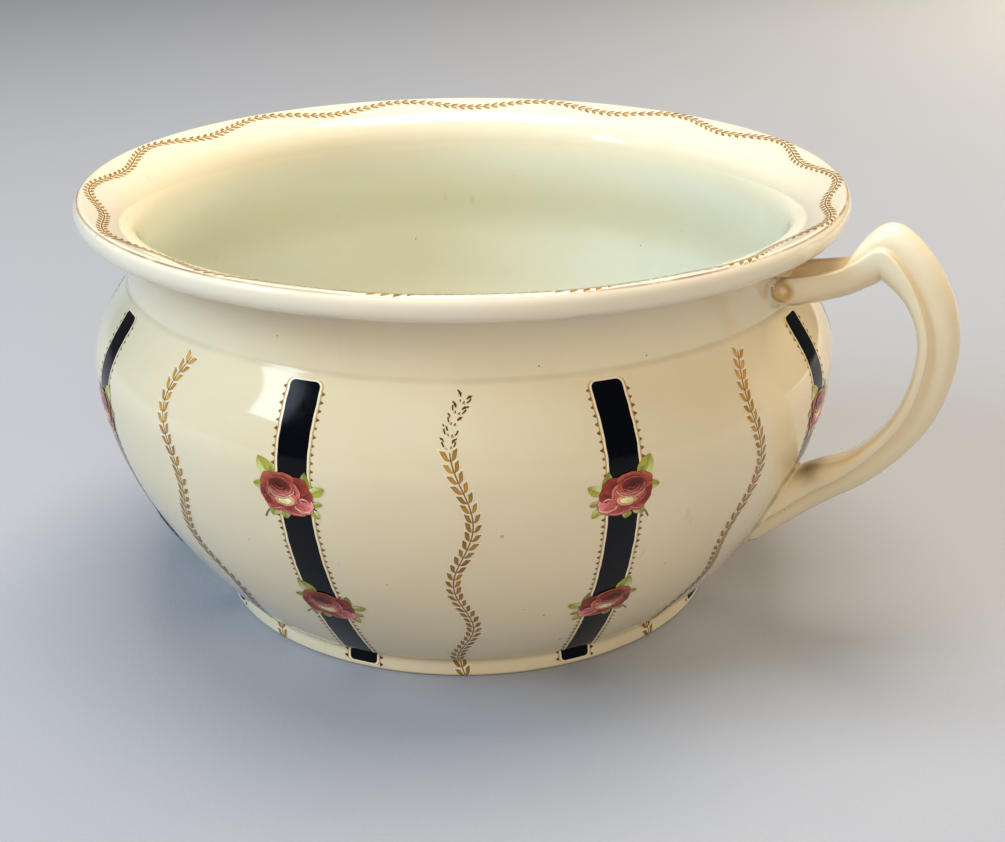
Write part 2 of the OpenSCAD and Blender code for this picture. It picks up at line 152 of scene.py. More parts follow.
class StageSettings(bpy.types.PropertyGroup):
    camera: bpy.props.FloatVectorProperty(
        name="Camera", description="Place of the camera", size=3, unit="LENGTH",
        default=(0.23391, -0.43300, 0.25817), precision=5
    )
    heading: angle("Heading", "Turn of the camera about the vertical", 27)
    pitch: angle("Pitch", "How far the camera looks down", 23.112)
    roll: angle("Roll", "Turn of the camera about its view", -0.175)
    lens: bpy.props.FloatProperty(
        name="Lens", description="Focal length for a sensor 36 mm wide", default=57.7
    )
    floor_tint: bpy.props.FloatVectorProperty(
        name="Floor", description="Colour of the floor", size=3, subtype="COLOR", min=0, max=1,
        default=(0.36, 0.37, 0.41)
    )


def row(*points):
    return np.array(points, float)


def bezier(a, b, c, d, n):
    """A cubic curve in n steps from a to d, drawn towards b and c."""
    t = np.linspace(0, 1, n + 1)[:, None]
    a, b, c, d = (np.array(p, float) for p in (a, b, c, d))
    s = 1 - t
    return a * s**3 + 3 * b * s * s * t + 3 * c * s * t * t + d * t**3


def arc(centre, rx, rz, start, end, n):
    """Part of an ellipse in n steps, between two angles in degrees."""
    a = np.radians(np.linspace(start, end, n + 1))
    return np.stack([centre[0] + rx * np.cos(a), centre[1] + rz * np.sin(a)], 1)


def directions(line):
    """The direction of a line at each of its points."""
    d = np.gradient(line, axis=0)
    return d / np.linalg.norm(d, axis=1)[:, None]


def distances(line):
    """How far along a line each of its points lies."""
    steps = np.linalg.norm(np.diff(line, axis=0), axis=1)
    return np.concatenate([[0], np.cumsum(steps)])


def along(s, steps, rows):
    """Rows that lie at steps, interpolated at s."""
    return np.array([np.interp(s, steps, column) for column in rows.T])


def soften(rows, spread):
    """Rows smoothed along the first axis, with the end rows repeated past the ends."""
    reach = int(3 * spread)
    weights = np.exp(-0.5 * (np.arange(-reach, reach + 1) / spread) ** 2)
    weights /= weights.sum()
    wide = np.concatenate([np.repeat(rows[:1], reach, 0), rows, np.repeat(rows[-1:], reach, 0)])
    return sum(w * wide[k:k + len(rows)] for k, w in enumerate(weights))


def bell(value, middle, width):
    """1 where value is at the middle, and less the further off it lies."""
    return np.exp(-((value - middle) / width) ** 2)


def spot(*spans):
    """A bell over several spans [value, middle, width] at once."""
    return np.exp(-sum(((value - middle) / width) ** 2 for value, middle, width in spans))


def opaque(colours):
    """Colours [rows, columns, 3] with a full alpha."""
    return np.concatenate([colours, np.ones((*colours.shape[:2], 1))], 2)


class Profile:
    """The pot's turned profile, as [radius, height] lines. Bare shares set how full a curve is."""

    foot_edge = 0.0012
    # The groove over the foot ring, as [step from the foot's radius, height].
    groove = row((-0.0002, 0.004), (-0.0004, 0.0052), (-0.0003, 0.0058), (0.0005, 0.0064))
    overhang, groove_top = 0.0022, 0.0008
    belly_power = 1.85
    roll_under = 0.004

    def __init__(self, p):
        self.sizes = p
        self.start = np.array([p.foot_radius + self.overhang, p.foot_height + self.groove_top])
        edge = self.foot_edge
        foot = np.concatenate([
            arc((p.foot_radius - edge, edge), edge, edge, -90, 0, 6),
            self.groove + (p.foot_radius, 0),
        ])
        low = self.low(np.linspace(1, 0, 91))
        rise = p.shoulder_height - p.belly_height
        high = bezier(
            (p.belly_radius, p.belly_height),
            (p.belly_radius, p.belly_height + 0.43 * rise),
            (p.shoulder_radius + 0.34 * (p.belly_radius - p.shoulder_radius),
             p.shoulder_height - 0.285 * rise),
            (p.shoulder_radius, p.shoulder_height), 44)
        self.belly = np.concatenate([foot, low, high[1:]])

        roll_z = p.rim_height - p.roll_half
        crest_r = p.rim_radius - p.crest_in
        step = p.neck_step
        neck_base = (p.shoulder_radius - step, p.shoulder_height + step)
        self.neck = bezier(
            neck_base,
            (p.neck_radius - step, neck_base[1] + 0.8 * (p.neck_height - neck_base[1])),
            (p.neck_radius - step, roll_z - 1.15 * p.roll_half),
            (crest_r - self.roll_under, roll_z - p.roll_half), 34)
        self.roll = arc((crest_r, roll_z), p.crest_in, p.roll_half, -90, 100.5, 44)

        lip_start = self.roll[-1]
        throat = p.neck_radius - p.wall
        depth = p.neck_height - p.belly_height
        self.lip = bezier(
            lip_start,
            lip_start - 0.11 * p.rim_radius * np.array([1, math.tan(p.lip_slope)]),
            (throat, p.neck_height + 0.62 * (p.rim_height - p.neck_height)),
            (throat, p.neck_height), 44)
        inside_high = bezier(
            (throat, p.neck_height), (throat, p.neck_height - 0.4 * depth),
            (p.belly_radius - p.wall, p.belly_height + 0.34 * depth),
            (p.belly_radius - p.wall, p.belly_height), 34)
        outer = self.low(np.linspace(0, 0.84, 50))
        d = directions(outer)
        inside_low = outer + p.wall * np.stack([d[:, 1], -d[:, 0]], 1)
        end = inside_low[-1]
        drop = end[1] - p.floor
        flat = 0.65 * p.foot_radius
        floor = bezier(end, end + directions(inside_low)[-1] * 1.25 * drop,
                       (0.5 * (flat + end[0]), p.floor), (flat, p.floor), 24)
        self.inside = np.concatenate([
            inside_high[1:], inside_low[1:], floor[1:],
            row((0.6 * flat, p.floor), (0.2 * flat, p.floor)),
        ])

        ring = p.foot_radius - p.foot_width
        self.under = row(
            (0.3 * ring, p.hollow), (0.8 * ring, p.hollow), (ring - 0.0025, p.hollow),
            (ring - 0.0015, p.hollow - 0.0004), (ring, edge), (ring + 0.0004, 0.0003),
            (ring + edge, 0))

    def low(self, u):
        """The lower belly, from its greatest radius at u = 0 to the groove at u = 1."""
        p = self.sizes
        r = p.belly_radius - (p.belly_radius - self.start[0]) * np.power(u, self.belly_power)
        return np.stack([r, p.belly_height - (p.belly_height - self.start[1]) * u], 1)

    def outer_radius(self, z):
        line = np.concatenate([self.belly, self.neck])
        return np.interp(z, line[:, 1], line[:, 0])


class Skin:
    """Places on a turned surface: a distance s along a line, and v to the side of a bearing."""

    def __init__(self, line):
        self.line = line
        self.s = distances(line)
        self.dir = directions(line)
        self.total = self.s[-1]

    def height(self, s):
        return np.interp(s, self.s, self.line[:, 1])

    def height_to_s(self, z):
        return float(np.interp(-z, -self.line[:, 1], self.s))

    def radius(self, s):
        return np.interp(s, self.s, self.line[:, 0])

    def at(self, s, v, bearing, lift):
        """Points in space, lifted off the surface."""
        s, v = np.broadcast_arrays(np.asarray(s, float), np.asarray(v, float))
        r, z = along(s, self.s, self.line)
        dr, dz = along(s, self.s, self.dir)
        a = bearing + v / r
        rr = r - dz * lift
        return np.stack([rr * np.cos(a), rr * np.sin(a), z + dr * lift], -1)


class Lip(Skin):
    """The lip's surface, where v is a distance round the pot at one mean radius."""

    def __init__(self, line, middle):
        super().__init__(line)
        self.mean = float(self.radius(middle))

    def at(self, s, v, bearing, lift):
        turn = bearing + np.asarray(v) / self.mean
        flat = super().at(s, 0 * turn, 0, lift)
        return np.stack([flat[..., 0] * np.cos(turn), flat[..., 0] * np.sin(turn), flat[..., 2]], -1)


def ribbon_bearing(t, i):
    return t.turn + i * 2 * math.pi / t.count + t.ribbon_slip[i % t.count]


def trail_bearing(t, i):
    return (ribbon_bearing(t, i) + ribbon_bearing(t, i + 1)) / 2 + t.trail_slip[i]


def ribbon_side(p, t, i, z):
    """Sideways place of a leaning ribbon's middle at height z."""
    return -math.tan(t.ribbon_lean[i]) * (z - 0.5 * (p.shoulder_height + p.foot_height))


def hash01(*keys):
    """A repeatable number from 0 to 1 for whole-number keys."""
    x = 0.0
    for i, k in enumerate(keys):
        x += (k + 1) * (12.9898 + 65.233 * i)
    return (math.sin(x) * 43758.5453) % 1.0


def new_object(name, data):
    """An object in the scene."""
    made = bpy.data.objects.new(name, data)
    bpy.context.scene.collection.objects.link(made)
    return made


class Patchwork:
    """Collects patches of a mesh, each with a material number and a colour per point."""

    def __init__(self):
        self.points, self.colours, self.faces, self.slots = [], [], [], []
        self.count = 0

    def loose(self, points, colours):
        """Points [n, 3] without faces; gives the number of the first."""
        base = self.count
        self.points.append(points)
        self.colours.append(colours)
        self.count += len(points)
        return base

    def grid(self, points, colours, slot=0, wrap=False):
        """A patch of points [rows, columns, 3]; gives the number of the first."""
        n, m = points.shape[:2]
        colours = np.broadcast_to(colours, (n, m, 4))
        base = self.loose(points.reshape(-1, 3), colours.reshape(-1, 4))
        i, j = np.meshgrid(np.arange(n - 1), np.arange(m if wrap else m - 1), indexing="ij")
        k = (j + 1) % m
        quads = np.stack([i * m + j, i * m + k, (i + 1) * m + k, (i + 1) * m + j], -1)
        quads = quads.reshape(-1, 4) + base
        self.faces.extend(quads.tolist())
        self.slots.extend([slot] * len(quads))
        return base

    def fan(self, ring, point, colour, slot=0):
        """Closes a ring of point numbers with one more point."""
        tip = self.loose(np.array([point], float), np.array([colour], float))
        m = len(ring)
        self.faces.extend([[ring[j], ring[(j + 1) % m], tip] for j in range(m)])
        self.slots.extend([slot] * m)

    def build(self, name, looks, attribute, nodes):
        """Makes the piece, with its colours in an attribute, in place of the CAD nodes."""
        mesh = bpy.data.meshes.new(name)
        mesh.from_pydata(np.concatenate(self.points).tolist(), [], self.faces)
        for material in looks:
            mesh.materials.append(look(material))
        mesh.polygons.foreach_set("material_index", self.slots)
        mesh.polygons.foreach_set("use_smooth", [True] * len(self.faces))
        layer = mesh.attributes.new(attribute, "FLOAT_COLOR", "POINT")
        layer.data.foreach_set("color", np.concatenate(self.colours).ravel())
        mesh.update()
        piece = new_object(name, mesh)
        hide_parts(*nodes)
        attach(piece, "root")


class Graph:
    """Adds nodes and links to a node tree."""

    def __init__(self, tree):
        self.tree = tree

    def feed(self, socket, value):
        if isinstance(value, bpy.types.NodeSocket):
            self.tree.links.new(value, socket)
        else:
            socket.default_value = value

    def add(self, kind, inputs=None, **settings):
        """A new node with its settings; each input is a value, or a socket to link from."""
        node = self.tree.nodes.new(kind)
        for key, value in settings.items():
            setattr(node, key, value)
        for key, value in (inputs or {}).items():
            self.feed(node.inputs[key], value)
        return node

    def maths(self, operation, a, b=0.0, clamp=False):
        node = self.add("ShaderNodeMath", {0: a, 1: b}, operation=operation, use_clamp=clamp)
        return node.outputs[0]

    def plus(self, a, b):
        return self.maths("ADD", a, b)

    def minus(self, a, b):
        return self.maths("SUBTRACT", a, b)

    def times(self, a, b, clamp=False):
        return self.maths("MULTIPLY", a, b, clamp)

    def ramp(self, value, low, high, to_low=0.0, to_high=1.0):
        """value from low to high, carried smoothly to another range."""
        ends = {"From Min": low, "From Max": high, "To Min": to_low, "To Max": to_high}
        node = self.add("ShaderNodeMapRange", {"Value": value, **ends}, interpolation_type="SMOOTHSTEP")
        return node.outputs["Result"]

    def mix(self, factor, a, b, blend="MIX"):
        """Colour a with colour b over it."""
        node = self.add("ShaderNodeMix", data_type="RGBA", blend_type=blend)
        sockets = {s.identifier: s for s in node.inputs}
        self.feed(sockets["Factor_Float"], factor)
        for key, colour in (("A_Color", a), ("B_Color", b)):
            linked = isinstance(colour, bpy.types.NodeSocket)
            self.feed(sockets[key], colour if linked else (*colour, 1.0))
        return next(s for s in node.outputs if s.identifier == "Result_Color")

    def noise(self, vector, scale, detail=3.0, roughness=0.5):
        inputs = {"Vector": vector, "Scale": scale, "Detail": detail, "Roughness": roughness}
        return self.add("ShaderNodeTexNoise", inputs).outputs["Fac"]

    def dots(self, vector, scale, radius, share):
        """Round dots: radius in cell widths, and the share of cells that have one."""
        cells = self.add("ShaderNodeTexVoronoi", {"Vector": vector, "Scale": scale})
        pick = self.add("ShaderNodeSeparateColor", {"Color": cells.outputs["Color"]})
        chosen = self.maths("LESS_THAN", pick.outputs["Red"], share)
        size = self.ramp(pick.outputs["Green"], 0.0, 1.0, 0.45 * radius, radius)
        return self.times(chosen, self.maths("LESS_THAN", cells.outputs["Distance"], size))

    def place(self):
        return self.add("ShaderNodeTexCoord").outputs["Object"]

    def close(self, colour, rough, height, ripple):
        """Ends a group with its colour, its roughness and a rippled normal."""
        bump = self.add("ShaderNodeBump", {"Height": height, "Strength": ripple, "Distance": RIPPLE_DEPTH})
        self.add("NodeGroupOutput", {
            "Colour": colour, "Roughness": rough, "Normal": bump.outputs["Normal"]})
        return self.tree


def new_group(name, colours, values):
    """A shader group with these inputs, which gives a colour, a roughness and a normal."""
    tree = bpy.data.node_groups.new(name, "ShaderNodeTree")
    for kind, labels in (("NodeSocketColor", colours), ("NodeSocketFloat", values)):
        for label in labels:
            tree.interface.new_socket(label, in_out="INPUT", socket_type=kind)
    for label, kind in (("Colour", "NodeSocketColor"), ("Roughness", "NodeSocketFloat"),
                        ("Normal", "NodeSocketVector")):
        tree.interface.new_socket(label, in_out="OUTPUT", socket_type=kind)
    g = Graph(tree)
    return g, g.add("NodeGroupInput").outputs


def glaze_group():
    """Old ivory glaze: painted shade inside the bowl (amber on the handle), a painted highlight paling the
    top, worn line on the lip, stains, painted shade in creases, specks, pinholes and ripple.
    """
    if "Old Glaze" in bpy.data.node_groups:
        return bpy.data.node_groups["Old Glaze"]
    g, given = new_group("Old Glaze", ("Ivory", "Warm", "Pale", "Inside", "Stain"), ("Ripple",))
    place = g.place()
    rise = g.add("ShaderNodeSeparateXYZ", {"Vector": place}).outputs["Z"]
    zone = g.add("ShaderNodeAttribute", attribute_name="zone")
    masks = g.add("ShaderNodeSeparateColor", {"Color": zone.outputs["Color"]})
    # Red: painted shade inside the bowl, amber on the handle. Alpha: painted shade in the bowl's creases
    # and a darker band at its foot edge.
    inside, line, stain = (masks.outputs[k] for k in ("Red", "Green", "Blue"))
    dirt = zone.outputs["Alpha"]

    cloud = g.noise(place, 14.0, 4.0, 0.55)
    fine = g.noise(place, 70.0, 5.0, 0.6)
    grain = g.noise(place, 420.0, 3.0, 0.6)
    specks = g.dots(place, 95.0, 0.05, 0.24)
    pinholes = g.dots(place, 260.0, 0.085, 0.05)
    blots = g.dots(place, 34.0, 0.030, 0.16)
    streak_place = g.add("ShaderNodeMapping", {
        "Vector": place, "Scale": (160.0, 160.0, 9.0), "Rotation": (0.5, 0.3, 0.2)}).outputs[0]
    streak = g.ramp(g.noise(streak_place, 1.0, 2.0, 0.4), 0.72, 0.80)
    smear = g.times(stain, g.ramp(fine, 0.25, 0.7, 0.35, 1.0), clamp=True)

    # Painted highlight: the glaze is painted paler between these heights, from the neck up to the rim and
    # the handle's top.
    highlight_low, highlight_high = 0.116, 0.131
    # Each layer is a mask and the colour that it lays over the layers before.
    colour = given["Ivory"]
    for mask, shade in (
            (g.ramp(cloud, 0.35, 0.75, 0.0, 0.45), given["Warm"]),
            (g.ramp(rise, highlight_low, highlight_high, 0.0, 0.9), given["Pale"]),
            (g.times(inside, g.ramp(cloud, 0.2, 0.8, 0.75, 1.0)), given["Inside"]),
            (g.ramp(fine, 0.3, 0.7, 0.0, 0.10), (0.62, 0.55, 0.42)),
            (g.times(line, g.ramp(fine, 0.30, 0.52, 0.15, 1.0)), (0.22, 0.10, 0.045)),
            (smear, given["Stain"]),
            # Painted shade in the bowl's creases, and a darker band at its foot edge.
            (g.times(dirt, g.ramp(fine, 0.3, 0.7, 0.4, 0.9)), (0.16, 0.12, 0.075)),
            (g.times(specks, 0.55), (0.20, 0.13, 0.07)),
            (g.times(pinholes, 0.6), (0.14, 0.10, 0.06)),
            (g.times(blots, 0.5), (0.26, 0.19, 0.11)),
            (g.times(streak, 0.3), (0.40, 0.36, 0.30))):
        colour = g.mix(mask, colour, shade)

    rough = g.plus(g.ramp(fine, 0.3, 0.8, 0.055, 0.12), g.times(g.plus(smear, dirt), 0.22))
    rough = g.plus(rough, g.times(streak, 0.12))
    turning_lines = g.maths("SINE", g.plus(g.times(rise, 2100.0), g.times(fine, 3.0)))
    height = g.plus(g.noise(place, 26.0, 2.0, 0.5), g.times(grain, 0.02))
    height = g.plus(height, g.times(turning_lines, 0.008))
    height = g.minus(height, g.times(pinholes, 0.05))
    return g.close(colour, rough, height, given["Ripple"])


def print_group():
    """Printed enamel: paint from the mesh, with stipple, worn pinholes and faint mottling."""
    if "Printed Enamel" in bpy.data.node_groups:
        return bpy.data.node_groups["Printed Enamel"]
    g, given = new_group("Printed Enamel", ("Colour", "Worn"), ("Wear", "Mottle"))
    place = g.place()
    paint = g.add("ShaderNodeAttribute", attribute_name="paint").outputs["Color"]
    colour = g.mix(1.0, paint, given["Colour"], "MULTIPLY")
    fine = g.noise(place, 320.0, 4.0, 0.65)
    grain = g.noise(place, 1400.0, 2.0, 0.5)
    shade = 1.0
    for pattern in (fine, grain):
        shade = g.plus(shade, g.times(g.minus(pattern, 0.5), given["Mottle"]))
    scaled = g.add("ShaderNodeVectorMath", {0: colour, "Scale": shade}, operation="SCALE").outputs[0]
    limit = g.minus(0.82, g.times(given["Wear"], 0.3))
    worn = g.ramp(g.noise(place, 520.0, 5.0, 0.7), limit, g.plus(limit, 0.04))
    rough = g.ramp(fine, 0.2, 0.8, 0.07, 0.16)
    height = g.plus(g.noise(place, 26.0, 2.0, 0.5), g.times(grain, 0.012))
    return g.close(g.mix(worn, scaled, given["Worn"]), rough, height, 0.14)


def new_material(name):
    """A material, with a graph of its nodes and its shader's inputs."""
    material = bpy.data.materials.new(name)
    material.use_nodes = True
    tree = material.node_tree
    return material, Graph(tree), tree.nodes["Principled BSDF"].inputs


# A material is [its group, the group's inputs, coat weight, specular level].
LOOKS = {
    # In both glazes the pale colour is a painted highlight towards the top; the inside colour is painted
    # shade in the bowl and amber on the handle.
    "Ivory glaze": (glaze_group, {
        "Ivory": (0.81, 0.69, 0.47, 1), "Warm": (0.77, 0.61, 0.36, 1),
        "Pale": (0.82, 0.73, 0.58, 1), "Inside": (0.69, 0.70, 0.58, 1),
        "Stain": (0.20, 0.125, 0.06, 1), "Ripple": 0.14}, 0.25, 0.5),
    "Handle glaze": (glaze_group, {
        "Ivory": (0.81, 0.68, 0.46, 1), "Warm": (0.77, 0.59, 0.32, 1),
        "Pale": (0.86, 0.75, 0.55, 1), "Inside": (0.60, 0.29, 0.006, 1),
        "Stain": (0.09, 0.050, 0.018, 1), "Ripple": 0.18}, 0.25, 0.5),
    "Ribbon enamel": (print_group, {
        "Colour": (0.0018, 0.0024, 0.0045, 1), "Worn": (0.06, 0.055, 0.045, 1),
        "Wear": 0.2, "Mottle": 0.7}, 0.0, 0.15),
    "Pale line": (print_group, {
        "Colour": (0.90, 0.78, 0.56, 1), "Worn": (0.62, 0.48, 0.27, 1),
        "Wear": 0.45, "Mottle": 0.12}, 0.0, 0.5),
    "Laurel print": (print_group, {
        "Colour": (1, 1, 1, 1), "Worn": (0.70, 0.60, 0.42, 1),
        "Wear": 0.55, "Mottle": 0.45}, 0.0, 0.2),
    "Rose print": (print_group, {
        "Colour": (1, 1, 1, 1), "Worn": (0.74, 0.60, 0.44, 1),
        "Wear": 0.25, "Mottle": 0.36}, 0.0, 0.22),
}


def look(name):
    """The material of that name; its colour, roughness and normal come from its group."""
    if name in bpy.data.materials:
        return bpy.data.materials[name]
    group, inputs, coat, level = LOOKS[name]
    material, g, shader = new_material(name)
    effect = g.add("ShaderNodeGroup", inputs, node_tree=group()).outputs
    for label, value in (
            ("Base Color", effect["Colour"]), ("Roughness", effect["Roughness"]),
            ("Normal", effect["Normal"]), ("IOR", GLAZE_IOR), ("Specular IOR Level", level),
            ("Coat Weight", coat), ("Coat Roughness", COAT_ROUGHNESS)):
        g.feed(shader[label], value)
    return material


def sizes(context):
    scene = context.scene
    return scene.pot_sizes, scene.pot_handle, scene.pot_transfers, scene.pot_stage


class POT_OT_bowl(bpy.types.Operator):
    """Turns the body: belly, foot ring, neck, rolled rim and inside"""
    bl_idname = "pot.build_bowl"
    bl_label = "Build bowl"

    # The painted shade inside starts this far under the crest and is full this much deeper.
    tint_start, tint_depth = 0.004, 0.016
    # The worn line on the roll, in degrees round it.
    worn_angle, worn_spread = 66, 7.0
    # Painted shade in the crease over the foot and along the shoulder line, and a darker band at the
    # foot's standing edge.
    dirt_width, crease_drop = 0.0007, 0.0002
    line_width, line_rise = 0.0006, 0.0003

    def masks(self, p, line, part, angles):
        """The glaze's masks: painted shade inside, worn line, no stain, and painted shade in creases with
        a darker foot edge.
        """
        _, belly, neck, roll, lip, _ = range(6)
        r, z = line[:, 0], line[:, 1]
        zone = np.zeros((len(line), len(angles), 4))
        # Painted shade: the glaze turns cooler and greener deeper inside the bowl.
        depth = np.clip((p.rim_height - self.tint_start - z) / self.tint_depth, 0, 1)
        zone[..., 0] = (np.where(part >= lip, depth, 0) ** 1.2)[:, None]
        crest_r = p.rim_radius - p.crest_in
        tilt = np.degrees(np.arctan2(
            (z - p.rim_height + p.roll_half) / p.roll_half, (r - crest_r) / p.crest_in))
        worn = np.where(part == roll, bell(tilt, self.worn_angle, self.worn_spread), 0)
        wobble = 0.72 + 0.28 * np.sin(3 * angles + 0.6) * np.sin(7 * angles + 1.9)
        zone[..., 1] = worn[:, None] * wobble
        # Painted shade in the crease and along the shoulder line; a darker band at the foot's edge.
        crease_shade = bell(z - p.foot_height, -self.crease_drop, self.dirt_width) * (part == belly)
        foot_edge_dark = bell(z, 0, self.dirt_width) * (part <= belly)
        shoulder_line_shade = bell(z - p.shoulder_height, self.line_rise, self.line_width)
        shoulder_line_shade = shoulder_line_shade * ((part == belly) | (part == neck)) * 0.22
        zone[..., 3] = np.clip(crease_shade * 0.55 + foot_edge_dark * 0.5 + shoulder_line_shade, 0, 1)[:, None]
        return zone

    def execute(self, context):
        p, _, _, _ = sizes(context)
        shape = Profile(p)
        parts = [shape.under, shape.belly[1:], shape.neck, shape.roll[1:], shape.lip[1:], shape.inside]
        line = np.concatenate(parts)
        part = np.concatenate([np.full(len(piece), i) for i, piece in enumerate(parts)])
        angles = np.linspace(0, 2 * math.pi, p.segments, endpoint=False)
        points = np.stack([
            line[:, :1] * np.cos(angles), line[:, :1] * np.sin(angles),
            np.repeat(line[:, 1:], p.segments, 1)], -1)
        zone = self.masks(p, line, part, angles)
        work = Patchwork()
        base = work.grid(points[::-1], zone[::-1], wrap=True)
        first = [base + (len(line) - 1) * p.segments + j for j in range(p.segments)]
        work.fan(first, (0, 0, p.hollow), (0, 0, 0, 0.2))
        last = [base + j for j in reversed(range(p.segments))]
        work.fan(last, (0, 0, p.floor), (1, 0, 0, 0))
        work.build("Bowl", ["Ivory glaze"], "zone", ["bowl"])
        return {"FINISHED"}


class POT_OT_handle(bpy.types.Operator):
    """Lofts the ear-shaped handle, with a luted seam at both ends"""
    bl_idname = "pot.build_handle"
    bl_label = "Build handle"

    # Steps of the spine between two stations, and how widely headings and rings are softened.
    spine_steps, heading_spread, ring_spread = 12, 11.4, 1.2
    # The section: its roundness, the flank under the ridge, and the rib's share of the width.
    roundness, flank_drop, rib_share = 0.78, 0.0012, 0.68
    # The ridge and the groove beside it, as [step from the ridge, share of the half width].
    ridge_line = row((-0.0006, 0.998), (-0.00022, 0.98), (0, 0.93),
                     (-0.0001, 0.88), (-0.00045, 0.82), (-0.0007, 0.76))
    # The pool of glaze on the arm's end: its middle, its radii, and where it ends inwards.
    pool_x, pool_rise = 0.1080, 0.0004
    pool_wide, pool_high = 0.0030, 0.0032
    pool_side, pool_fade = 0.0092, 0.002
    pool_dent, pool_brim = 0.0011, 0.0003
    # Places and sizes of two dark marks by the lower joint.
    blot_x, blot_z, blot_wide, blot_high = 0.1165, 0.0575, 0.005, 0.0035
    notch_place, notch_size = (0.1065, 0.009, 0.0395), (0.0018, 0.002, 0.003)
    seam_lift, seam_dirt = 0.00003, 0.0010

    def stations(self, p, h, shape):
        """Rows [radius, height, half width, inner, ridge, crown], in shares of the sizes."""
        upper, up, down = p.neck_radius, h.upper_joint, h.lower_joint
        lower = float(shape.outer_radius(down))
        bow = h.reach - h.outer
        crown = 1.08 * h.outer
        hump = h.top - crown
        across, under = bow - upper, bow - lower
        rise, drop, low = hump - up, hump - h.bow, h.bow - down
        w, f, t, o = h.half_width, h.fork_half_width, h.inner, h.outer
        return row(
            (upper - 0.8 * p.wall, up, f, 1.24 * t, 0.56 * o, 0.2 * o),
            (upper + 0.105 * across, up + 0.058 * rise, f + 0.3 * (w - f), 1.3 * t, 0.56 * o, 0.2 * o),
            (upper + 0.38 * across, up + 0.3 * rise, f + 0.8 * (w - f), 1.16 * t, 0.5 * o, 0.26 * o),
            (upper + 0.5 * across, up + 0.61 * rise, w, 1.4 * t, 0.3 * o, 0.75 * o),
            (upper + 0.665 * across, hump, w, 1.95 * t, 0.05 * o, crown),
            (upper + 0.9 * across, hump - 0.425 * drop, w, 1.22 * t, -0.12 * o, 1.03 * o),
            (bow, h.bow, w, t, -0.16 * o, o),
            (lower + 0.9 * under, down + 0.648 * low, w, 0.97 * t, -0.16 * o, 0.95 * o),
            (lower + 0.608 * under, down + 0.348 * low, w, 0.98 * t, -0.16 * o, 0.9 * o),
            (lower + 0.26 * under, down + 0.14 * low, 1.02 * w, 1.6 * t, -0.1 * o, 0.85 * o),
            (lower - 1.4 * p.wall, down - 0.137 * low, 1.1 * w, 2 * t, 0, 0.79 * o))

    def spine(self, rows):
        """A smooth line through the stations."""
        ends = np.concatenate([rows[:1], rows, rows[-1:]])
        line = []
        for i in range(len(rows) - 1):
            a, b, c, d = ends[i:i + 4]
            for t in np.arange(self.spine_steps) / self.spine_steps:
                line.append(0.5 * (2 * b + (c - a) * t + (2 * a - 5 * b + 4 * c - d) * t * t
                                   + (3 * b - a - 3 * c + d) * t**3))
        return np.array(line + [rows[-1]])

    def section(self, w, t, ridge, crown):
        """A section as [out, side]: inner face, flank, ridge, groove and rib, on both sides."""
        flank = ridge - self.flank_drop
        a = np.radians(np.linspace(0, 90, 30))
        inner = np.stack([
            flank - (t + flank) * np.power(np.cos(a), self.roundness).clip(0),
            w * np.power(np.sin(a), self.roundness)], 1)
        edge = self.ridge_line * (1, w) + (ridge, 0)
        b = np.radians(np.linspace(4, 90, 18))
        rib = np.stack([ridge + (crown - ridge) * np.sin(b), self.rib_share * w * np.cos(b)], 1)
        half = np.concatenate([inner, edge, rib])
        return np.concatenate([half, half[-2:0:-1] * [1, -1]])

    def seam(self, work, h, shape, rings, gaps, dirt):
        """The luted seam at the first end of the rings: a hollow strip from handle to pot."""
        climb, spread = 0.6 * h.fillet, 0.7 * h.fillet
        starts, feet = [], []
        for j in range(rings.shape[1]):
            out = int(np.argmax(gaps[:, j] > climb)) + 1
            for gap, found in ((0, starts), (climb, feet)):
                found.append(along(gap, gaps[:out, j], rings[:out, j]))
        starts, feet = np.array(starts), np.array(feet)
        away = starts - starts.mean(0)
        away /= np.linalg.norm(away, axis=1)[:, None]
        ends = starts + spread * away
        reach = (shape.outer_radius(ends[:, 2]) + self.seam_lift) / np.hypot(ends[:, 0], ends[:, 1])
        ends[:, :2] *= reach[:, None]
        t = np.linspace(0, 1, 7)[:, None, None]
        strip = feet * (1 - t) ** 2 + starts * 2 * t * (1 - t) + ends * t**2
        zone = np.zeros((*strip.shape[:2], 4))
        k = np.arange(len(starts))
        uneven = 0.65 + 0.35 * np.sin(0.45 * k) * np.sin(0.19 * k + 1)
        zone[..., 2] = dirt * bell(t[..., 0], 0.6, 0.26) * uneven
        work.grid(strip, zone, wrap=True)

    def pool(self, h, points):
        """Distance from the middle of the glaze pool on the arm's end, in radii of the pool."""
        x, y, z = points[..., 0], np.abs(points[..., 1]), points[..., 2]
        away = np.hypot((x - self.pool_x) / self.pool_wide,
                        (z - h.upper_joint - self.pool_rise) / self.pool_high)
        return away + np.clip((self.pool_side - y) / self.pool_fade, 0, 2)

    def stains(self, h, ring, part, gap, share, width):
        """Masks for one ring: amber in the hollows, with painted shade in the groove, and dark dirt in the
        seams.
        """
        x, y, z = ring[:, 0], np.abs(ring[:, 1]), ring[:, 2]
        out, aside = part[:, 0], np.abs(part[:, 1])
        zone = np.zeros((len(ring), 4))
        trough = np.clip((0.27 - share) / 0.10, 0, 1) * np.clip((out - 0.0002) / 0.001, 0, 1)
        trough *= np.clip(1.25 - aside / (0.8 * width), 0, 1)
        pool = self.pool(h, ring)
        amber = np.clip(1.5 * bell(pool, 0.62, 0.28), 0, 1)
